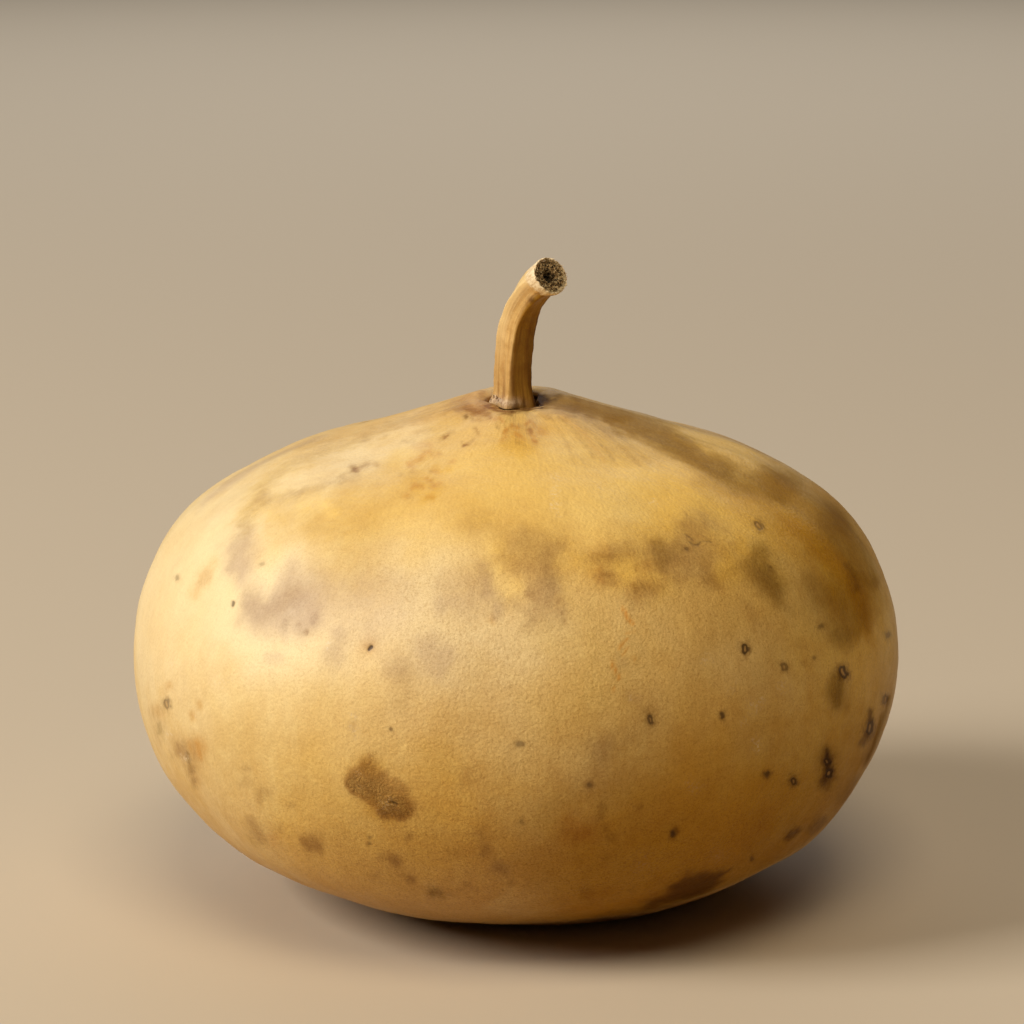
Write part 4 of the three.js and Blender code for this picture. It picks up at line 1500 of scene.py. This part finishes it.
def stemCentres(distances):
    # the middle line goes smoothly through its points, with knots spaced by the root of the chord; it is
    # read at equal distances along it
    heading = np.array([math.cos(stem["heading"] * degree), math.sin(stem["heading"] * degree), 0.0])
    rows = np.array([[stem["place"], 0, rind["crownHeight"] + height] + lean * heading
                     for lean, height in stem["line"]])
    rows = np.vstack([2 * rows[0] - rows[1], rows, 2 * rows[-1] - rows[-2]])
    t = np.linspace(0, 1, 201)[:, None]
    pieces = []
    for first in range(len(rows) - 3):
        before, a, b, after = rows[first:first + 4]
        gaps = [np.linalg.norm(q - p) ** 0.5 for p, q in ((before, a), (a, b), (b, after))]
        leave = ((a - before) / gaps[0] - (b - before) / (gaps[0] + gaps[1]) + (b - a) / gaps[1]) * gaps[1]
        arrive = ((b - a) / gaps[1] - (after - a) / (gaps[1] + gaps[2]) + (after - b) / gaps[2]) * gaps[1]
        cubic = (2 * a - 2 * b + leave + arrive) * t**3 + (-3 * a + 3 * b - 2 * leave - arrive) * t**2
        pieces.append((cubic + leave * t + a)[: 201 if first == len(rows) - 4 else 200])
    line = np.vstack(pieces)
    travelled = np.concatenate([[0], np.cumsum(np.linalg.norm(np.diff(line, axis=0), axis=1))])
    if distances is None:
        return travelled[-1]
    centres = np.column_stack([np.interp(distances, travelled, line[:, k]) for k in range(3)])
    tangents = np.column_stack([np.interp(distances, travelled, np.gradient(line[:, k], travelled))
                                for k in range(3)])
    return centres, tangents / np.linalg.norm(tangents, axis=1)[:, None]


stemLength = stemCentres(None)

stemEnd = {
    "endRadius": 5.25,          # the cut end is rounder and a little wider than the shaft
    "swellLength": 4.6,
    "wideAzimuth": 165.0,       # the bark is peeled and rounded over most on this side
    "wideBevel": 1.7,
    "thinBevel": 0.26,
    "wideShave": 0.34,
    "thinShave": 0.08,
    "rimWidth": 0.24,
    "rimRough": 0.26,
    "faceDepth": 0.55,
    "pithDepth": 2.4,
    "faceRough": 0.42,
    "faceRows": 40,
    "knobPixel": (531.0, 299.0, 4.6),    # a dark knob below the rim: picture x, y and radius
    "knobHeight": 0.42,
}


def endShare(azimuth):
    # 1 on the peeled side of the cut end and 0 on the other side
    return (0.5 + 0.5 * np.cos(azimuth - stemEnd["wideAzimuth"] * degree)) ** 1.4


def makeStemShape():
    # rings along the middle line, then over the rim, down onto the rough face and into the pith. Each
    # ring has a radius and a distance along the line for each azimuth, and says how far it is cut open
    columns = stem["columns"]
    azimuth = np.arange(columns) / columns * 2 * math.pi
    end = stemEnd
    share = endShare(azimuth)
    bevel = end["thinBevel"] + (end["wideBevel"] - end["thinBevel"]) * share
    shave = end["thinShave"] + (end["wideShave"] - end["thinShave"]) * share
    ragged = np.column_stack([np.cos(azimuth) * 4.6, np.sin(azimuth) * 4.6])

    # the shaft: it swells towards the end, and is shaved off as a circle's quarter over the bevel
    distances = (stemLength * np.linspace(0, 1, stem["rows"]) ** 1.1)[:, None]
    left = stemLength - distances
    swell = hump(left, 0, end["swellLength"])
    outer = stemRadius(azimuth, distances) * (1 - swell) + end["endRadius"] * swell
    into = np.clip(1 - left / bevel, 0, 1)
    radii = outer - shave * (1 - np.sqrt(1 - into**2 * 0.98))
    lengths = np.broadcast_to(distances, radii.shape)
    cut = np.zeros(radii.shape)

    # the rim, and the face that sinks from it to the pith
    lip = end["rimRough"] * waveNoise(ragged, 1.5, 31)
    edge = radii[-1]
    inner = edge - end["rimWidth"] - 0.12 * waveNoise(ragged, 1.1, 32)
    rim = np.stack([edge - 0.1, inner])
    rimLengths = np.stack([stemLength + 0.18 + lip, stemLength + 0.10 + lip])
    rimCut = np.repeat([[0.15], [0.6]], columns, axis=1)
    into = np.linspace(0, 1, end["faceRows"])[1:, None]
    face = inner * (1 - into) + 0.25 * into
    fromMiddle = face / inner
    funnel = 1 - smoothStep(0.1, 0.5, fromMiddle)
    hollow = end["faceDepth"] * smoothStep(0, 0.12, into) + 0.25 * into + end["pithDepth"] * funnel**1.5
    faceCut = np.ones(face.shape)
    return (azimuth, np.vstack([radii, rim, face]), np.vstack([lengths, rimLengths, stemLength - hollow]),
            np.vstack([cut, rimCut, faceCut]), np.vstack([cut, rimCut * 0, 1 - fromMiddle]))


def stemPoints(turns, radius, length):
    # points at a turn round the middle line, a distance from it and a distance along it
    clipped = np.minimum(length, stemLength)
    centres, tangents = stemCentres(clipped)
    centres = centres + tangents * (length - clipped)[:, None]
    heading = stem["heading"] * degree
    side = np.array([-math.sin(heading), math.cos(heading), 0.0])
    outward = np.cross(np.broadcast_to(side, tangents.shape), tangents)
    facing = turns - heading
    spoke = outward * np.cos(facing)[:, None] + side * np.sin(facing)[:, None]
    return centres + radius[:, None] * spoke, tangents, spoke


def makeStem():
    azimuth, radii, lengths, cut, core = makeStemShape()
    rowCount, columns = radii.shape
    turns = np.broadcast_to(azimuth, radii.shape).ravel()
    radius, length, cut, core = radii.ravel(), lengths.ravel(), cut.ravel(), core.ravel()

    onShaft = 1 - smoothStep(0.05, 0.5, cut)
    wrapped = np.column_stack([4.8 * np.cos(turns), 4.8 * np.sin(turns), length * 0.05])
    ridges = waveNoise(wrapped, stem["fineRidgeWidth"], 41) + 0.5 * waveNoise(wrapped, 0.8, 42)
    radius = radius + onShaft * stem["fineRidge"] * ridges
    dents = waveNoise(np.column_stack([4.8 * np.cos(turns), 4.8 * np.sin(turns), length]), 5.0, 47)
    radius = radius + onShaft * 0.10 * dents
    # roots: the ribs spread and roughen where they grip the rind
    foot = hump(length, 0.8, 2.0)
    rootWave = waveNoise(np.column_stack([7 * np.cos(turns), 7 * np.sin(turns), length * 0.4]), 2.2, 43)
    radius = radius + foot * 0.16 * rootWave
    points, tangents, spoke = stemPoints(turns, radius, length)

    # the cut face is spongy: pits and crumbs along the stem's direction
    sponge = 0.6 * waveNoise(points, 1.7, 44, 40) + 0.5 * waveNoise(points, 0.85, 45, 40)
    points = points + tangents * (sponge * stemEnd["faceRough"] * smoothStep(0.4, 1, cut))[:, None]

    # the dark knob, found by the line of sight through its pixel
    faces = gridFaces(rowCount, columns)
    tree = BVHTree.FromPolygons(points.tolist(), faces)
    knob = onTreeFromPicture(tree, [stemEnd["knobPixel"]])[0]
    knobField = hump(np.linalg.norm(points - knob[:3], axis=1), 0, knob[3])
    points = points + spoke * (knobField * stemEnd["knobHeight"])[:, None]

    # the bark is peeled to pale wood round the cut, furthest on the upper left
    left = stemLength - np.minimum(length, stemLength)
    peelReach = 0.7 + 5.4 * endShare(turns) + 0.5 * waveNoise(wrapped, 2.2, 46)
    footLeft = 0.5 + 0.5 * np.cos(turns - 205 * degree)
    attributes = {
        "grain": np.column_stack([4.8 * np.cos(turns), 4.8 * np.sin(turns), length]),
        "cut": cut,
        "core": core,
        "peel": np.exp(-0.69 * (left / peelReach) ** 2) * (1 - smoothStep(0.5, 0.9, cut)),
        "tissue": hump(length, 1.6, 1.3) * smoothStep(0.3, 0.8, footLeft),
        # a brown stain round the foot, with painted shade where the foot meets the rind, strongest on the
        # right
        "footStainAndShade": hump(length, 0.8, 1.6) * (0.35 + 0.65 * smoothStep(0.2, 0.9, 1 - footLeft)),
        "groove": np.clip(-ridges, 0, 1) * onShaft,
        "knob": knobField,
        # painted shade: the side of the shaft away from the light is darkened
        "shadedSide": smoothStep(-0.02, 0.22, np.sin(turns + 99 * degree)) * onShaft,
        # painted highlight: the upper part of the side that faces the light is paled
        "litSide": smoothStep(0.5, 1.0, np.cos(turns - 186 * degree)) * smoothStep(9, 26, length) * onShaft,
        # darker towards the foot
        "towardsFoot": smoothStep(22, 3, length) * onShaft,
    }
    bottom = points[:columns].mean(axis=0)
    top = points[-columns:].mean(axis=0)
    points = np.vstack([points, bottom, top])
    for key, values in attributes.items():
        ends = np.stack([values[:columns].mean(axis=0), values[-columns:].mean(axis=0)])
        attributes[key] = np.concatenate([values, ends])
    faces += fanFaces(0, columns, rowCount * columns, True)
    faces += fanFaces((rowCount - 1) * columns, columns, rowCount * columns + 1, False)
    return rideOnStem(putMesh("stalk", points, faces, attributes, makeStemMaterial(stemLook)))


def rideOnStem(piece):
    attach(piece, "root")
    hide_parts("stem")
    return piece


stemLook = {
    "bark": tone(214, 172, 100),
    "barkDeep": tone(168, 114, 46),
    "barkPale": tone(234, 202, 142),
    "barkGroove": tone(132, 84, 34),
    "peeled": tone(240, 218, 178),
    "peeledDark": tone(190, 148, 92),
    "tissue": tone(208, 182, 148),
    "tissueDark": tone(176, 146, 116),
    "stainTint": (0.42, 0.33, 0.24, 1.0),
    # the tint of the painted shade on the side away from the light
    "shadedSideTint": (0.52, 0.41, 0.12, 1.0),
    # the tint that darkens the stem towards the foot
    "towardsFootTint": (0.70, 0.60, 0.42, 1.0),
    "sponge": tone(158, 126, 82),
    "spongeDark": tone(30, 20, 10),
    "spongePale": tone(232, 206, 156),
    "roughness": 0.5,
    "gloss": 0.26,
    "grainDepth": 0.0002,           # metres
}


def makeStemMaterial(look):
    material, tree, shader, place = startMaterial("driedStalk")
    grain = addNode(tree, "ShaderNodeAttribute", attribute_name="grain").outputs["Vector"]
    fine, fineHeight = fibresOn(tree, grain, 1.3, 0.05)
    stripes = fibresOn(tree, grain, 0.45, 0.06)[0]
    cut = readField(tree, "cut")

    def mask(name, scale, patchiness):
        return patchyField(tree, place, readField(tree, name), scale, patchiness)

    def share(*values):
        return product(tree, *values)

    def tinted(colour, amount, name):
        return blend(tree, amount, colour, look[name], "MULTIPLY")

    colour = blend(tree, stripes, look["bark"], look["barkPale"])
    colour = blend(tree, share(fine, 0.62), colour, look["barkDeep"])
    cloudy = mottle(tree, place, 0.45, 4.0, 0.6, 0.45, 0.7)
    colour = blend(tree, share(cloudy, 0.35), colour, look["barkDeep"])
    colour = blend(tree, share(readField(tree, "groove"), 0.5), colour, look["barkGroove"])
    # painted highlight on the side of the stem that faces the light
    colour = blend(tree, share(readField(tree, "litSide"), 0.75), colour, look["barkPale"])
    shadedSide, towardsFoot = readField(tree, "shadedSide"), readField(tree, "towardsFoot")
    # painted shade on the side of the stem away from the light
    colour = tinted(colour, shadedSide, "shadedSideTint")
    # darker towards the foot, and more so on the side away from the light, as painted shade
    colour = tinted(colour, share(towardsFoot, 0.5), "towardsFootTint")
    colour = tinted(colour, share(shadedSide, towardsFoot, 0.16), "towardsFootTint")
    # brown stain round the foot, and painted shade where it meets the rind, strongest on the right
    colour = tinted(colour, share(mask("footStainAndShade", 0.8, 0.8), 0.8), "stainTint")
    colour = tinted(colour, mask("knob", 1.0, 0.3), "stainTint")
    shreds = mottle(tree, stretch(tree, grain, 1.0, 1.0, 0.3), 1.8, 4.0, 0.65, 0.42, 0.62)
    peeled = blend(tree, share(shreds, 0.6), look["peeled"], look["peeledDark"])
    colour = blend(tree, remap(tree, mask("peel", 0.8, 0.8), 0.30, 0.58), colour, peeled)
    crumbly = mottle(tree, place, 1.2, 4.0, 0.6, 0.42, 0.6)
    tissueColour = blend(tree, crumbly, look["tissue"], look["tissueDark"])
    colour = blend(tree, share(mask("tissue", 0.9, 0.8), 0.85), colour, tissueColour)

    # the cut face: dark cells with tan and cream threads, darker towards the pith
    core = readField(tree, "core")
    cells = mottle(tree, place, 1.5, 4.0, 0.7, 0.40, 0.58)
    threads = mottle(tree, place, 1.9, 3.0, 0.65, 0.52, 0.60, 0.6)
    face = blend(tree, cells, look["spongeDark"], look["sponge"])
    face = blend(tree, share(threads, 0.85), face, look["spongePale"])
    face = blend(tree, share(remap(tree, core, 0.5, 0.85), 0.85), face, look["spongeDark"])
    face = blend(tree, share(remap(tree, core, 0.22, 0.0), 0.45), face, look["spongePale"])
    colour = blend(tree, remap(tree, cut, 0.5, 0.85), colour, face)
    tree.links.new(colour, shader.inputs["Base Color"])
    rough = maths(tree, "ADD", look["roughness"], share(cut, 0.4), clamp=True)
    tree.links.new(rough, shader.inputs["Roughness"])
    shader.inputs["Specular IOR Level"].default_value = look["gloss"]
    heights = maths(tree, "ADD", fineHeight, share(cells, cut))
    heights = maths(tree, "ADD", heights, share(noise(tree, place, 1.6, 3.0, 0.6), 0.4))
    bump = addNode(tree, "ShaderNodeBump",
                   {"Strength": 0.9, "Distance": look["grainDepth"], "Height": heights})
    tree.links.new(bump.outputs["Normal"], shader.inputs["Normal"])
    return material


stemPiece = makeStem()
print("stem made:", len(stemPiece.data.vertices), "points")


# Small ragged pieces: dry tissue round the left of the foot, and fibres round the cut

flakes = {
    "seed": 5,
    "count": 7,
    "azimuth": (206.0, 26.0),       # middle and spread in degrees
    "along": (1.5, 2.6),            # along the stem
    "length": (1.0, 2.4),
    "width": (0.5, 1.1),
    "thickness": (0.04, 0.09),
    "rings": 7,
    "columns": 12,
}

fibres = {
    "seed": 8,
    "count": 64,
    "length": (0.35, 1.1),
    "radius": (0.05, 0.11),
    "rings": 5,
    "columns": 5,
}


def manyFaces(count, rows, columns):
    # the faces of count tubes of rows by columns points, each closed by a pole at both ends
    size = rows * columns + 2
    one = gridFaces(rows, columns)
    one += fanFaces(0, columns, rows * columns, True)
    one += fanFaces((rows - 1) * columns, columns, rows * columns + 1, False)
    return [[index + turn * size for index in face] for turn in range(count) for face in one]


def makeFlakes(settings):
    # flattened balls, lumpy and turned at random, that lie against the foot of the stem
    random = np.random.default_rng(settings["seed"])
    count = settings["count"]
    turns = random.normal(*settings["azimuth"], count) * degree
    along = random.uniform(*settings["along"], count)
    radius = stemRadius(turns, along) + 0.12
    centres, tangents, spoke = stemPoints(turns, radius, along)
    side = np.cross(tangents, spoke)
    spin = random.uniform(-0.7, 0.7, count)[:, None]
    long = tangents * np.sin(spin) + side * np.cos(spin)
    wide = tangents * np.cos(spin) - side * np.sin(spin)
    tilt = np.arange(1, settings["rings"] + 1) / (settings["rings"] + 1) * math.pi
    around = np.arange(settings["columns"]) / settings["columns"] * 2 * math.pi
    ball = np.column_stack([
        np.outer(np.sin(tilt), np.cos(around)).ravel(),
        np.outer(np.sin(tilt), np.sin(around)).ravel(),
        np.outer(-np.cos(tilt), np.ones_like(around)).ravel(),
    ])
    ball = np.vstack([ball, [[0, 0, -1], [0, 0, 1]]])
    shape = np.broadcast_to(ball, (count, *ball.shape))
    shift = random.uniform(-50, 50, (count, 1, 3))
    lumps = waveNoise((shape * 1.0 + shift).reshape(-1, 3), 1.3, 51).reshape(count, -1, 1)
    shape = shape * (1 + 0.2 * lumps)
    sizes = [random.uniform(*settings[key], count)[:, None, None] / 2
             for key in ("length", "width", "thickness")]
    points = centres[:, None, :] + sum(
        shape[:, :, k:k + 1] * size * axis[:, None, :]
        for k, (size, axis) in enumerate(zip(sizes, (long, wide, spoke)))
    )
    faces = manyFaces(count, settings["rings"], settings["columns"])
    piece = putMesh("footTissue", points.reshape(-1, 3), faces, {}, makeTissueMaterial(stemLook))
    return rideOnStem(piece)


def makeFibres(settings):
    # thin slivers round the rim of the cut: each tapers evenly and curls away from the rim
    random = np.random.default_rng(settings["seed"])
    count = settings["count"]
    turns = random.uniform(0, 2 * math.pi, count)
    shave = stemEnd["thinShave"] + (stemEnd["wideShave"] - stemEnd["thinShave"]) * endShare(turns)
    radius = stemEnd["endRadius"] - shave - random.uniform(0.05, 0.5, count)
    roots, tangents, spoke = stemPoints(turns, radius, np.full(count, stemLength - 0.15))
    side = np.cross(tangents, spoke)
    lean = random.uniform(-0.9, 0.7, count)[:, None]
    drift = random.uniform(-0.7, 0.7, count)[:, None]
    aim = tangents + spoke * lean + side * drift
    aim /= np.linalg.norm(aim, axis=1)[:, None]
    curl = spoke * random.uniform(-0.5, 0.5, count)[:, None]
    curl = curl + side * random.uniform(-0.5, 0.5, count)[:, None]
    length = random.uniform(*settings["length"], count)[:, None, None]
    thick = random.uniform(*settings["radius"], count)[:, None, None]
    t = np.linspace(0, 1, settings["rings"])[None, :, None]
    middle = roots[:, None, :] + length * (t * aim[:, None, :] + t**2 * 0.6 * curl[:, None, :])
    first = np.cross(aim, side)
    first /= np.linalg.norm(first, axis=1)[:, None]
    second = np.cross(aim, first)
    around = np.arange(settings["columns"]) / settings["columns"] * 2 * math.pi
    circle = (first[:, None, None, :] * np.cos(around)[None, None, :, None]
              + second[:, None, None, :] * np.sin(around)[None, None, :, None])
    taper = thick * (1 - 0.85 * t)
    rings = middle[:, :, None, :] + circle * taper[..., None]
    rings = rings.reshape(count, -1, 3)
    points = np.concatenate([rings, middle[:, :1], middle[:, -1:]], axis=1)
    faces = manyFaces(count, settings["rings"], settings["columns"])
    piece = putMesh("frayedFibres", points.reshape(-1, 3), faces, {}, makeFibreMaterial(stemLook))
    return rideOnStem(piece)


def makeTissueMaterial(look):
    material, tree, shader, place = startMaterial("dryTissue")
    spots = mottle(tree, place, 0.9, 4.0, 0.6, 0.42, 0.62)
    colour = blend(tree, spots, look["tissue"], look["tissueDark"])
    tree.links.new(colour, shader.inputs["Base Color"])
    shader.inputs["Roughness"].default_value = 0.8
    bump = addNode(tree, "ShaderNodeBump", {"Strength": 0.8, "Distance": 0.0001,
                                            "Height": noise(tree, place, 3.0, 3.0, 0.6)})
    tree.links.new(bump.outputs["Normal"], shader.inputs["Normal"])
    return material


def makeFibreMaterial(look):
    material, tree, shader, place = startMaterial("frayedBark")
    spots = mottle(tree, place, 0.7, 3.0, 0.6, 0.45, 0.6)
    colour = blend(tree, spots, look["peeled"], look["barkGroove"])
    tree.links.new(colour, shader.inputs["Base Color"])
    shader.inputs["Roughness"].default_value = 0.7
    return material


flakePiece = makeFlakes(flakes)
fibrePiece = makeFibres(fibres)
print("small pieces made:", len(flakePiece.data.polygons) + len(fibrePiece.data.polygons), "faces")


# Floor and light

studio = {
    "floorRadius": 9.0,             # metres
    "floorTone": tone(196, 180, 158),
    "keyPlace": (-2.565, -1.035, 1.80),
    "keyAim": (0.0, 0.0, 0.07),
    "keySize": 1.3,
    "keyPower": 104.0,
    "keyTone": (1.0, 0.975, 0.92),
    "frontPlace": (0.25, -1.41, 2.76),
    "frontAim": (0.0, 0.0, 0.07),
    "frontSize": 1.6,
    "frontPower": 44.0,
    "frontTone": (1.0, 0.86, 0.64),
    "backPlace": (0.0, 3.2, 1.7),   # a wide panel that lights the floor behind
    "backAim": (0.0, 3.0, 0.0),
    "backSize": 3.4,
    "backPower": 43.0,
    "backTone": (0.92, 0.96, 1.0),
    "worldTone": (1.0, 0.80, 0.58, 1.0),
    "worldStrength": 0.04,
}


def makeFloor():
    around = np.linspace(0, 2 * math.pi, 97)[:-1]
    rim = np.column_stack([np.cos(around), np.sin(around), np.zeros(96)]) * studio["floorRadius"] / mm
    material = bpy.data.materials.new("plainFloor")
    material.use_nodes = True
    shader = material.node_tree.nodes["Principled BSDF"]
    shader.inputs["Base Color"].default_value = studio["floorTone"]
    shader.inputs["Roughness"].default_value = 0.85
    shader.inputs["Specular IOR Level"].default_value = 0.2
    floor = putMesh("floor", rim, [list(range(96))], {}, material)


def makeLight(name, key):
    data = bpy.data.lights.new(name, "AREA")
    data.shape = "SQUARE"
    data.size = studio[key + "Size"]
    data.energy = studio[key + "Power"]
    data.color = studio[key + "Tone"]
    light = bpy.data.objects.new(name, data)
    light.location = studio[key + "Place"]
    aim = Vector(studio[key + "Aim"]) - light.location
    light.rotation_euler = aim.to_track_quat("-Z", "Y").to_euler()
    light.visible_camera = False
    bpy.context.scene.collection.objects.link(light)


def makeWorld():
    world = bpy.data.worlds.new("softRoom")
    world.use_nodes = True
    background = world.node_tree.nodes["Background"]
    background.inputs["Color"].default_value = studio["worldTone"]
    background.inputs["Strength"].default_value = studio["worldStrength"]
    bpy.context.scene.world = world


makeFloor()
makeLight("windowLight", "key")
makeLight("frontLight", "front")
makeLight("backLight", "back")
makeWorld()
bpy.context.scene.view_settings.view_transform = "Standard"
print("floor and light made")
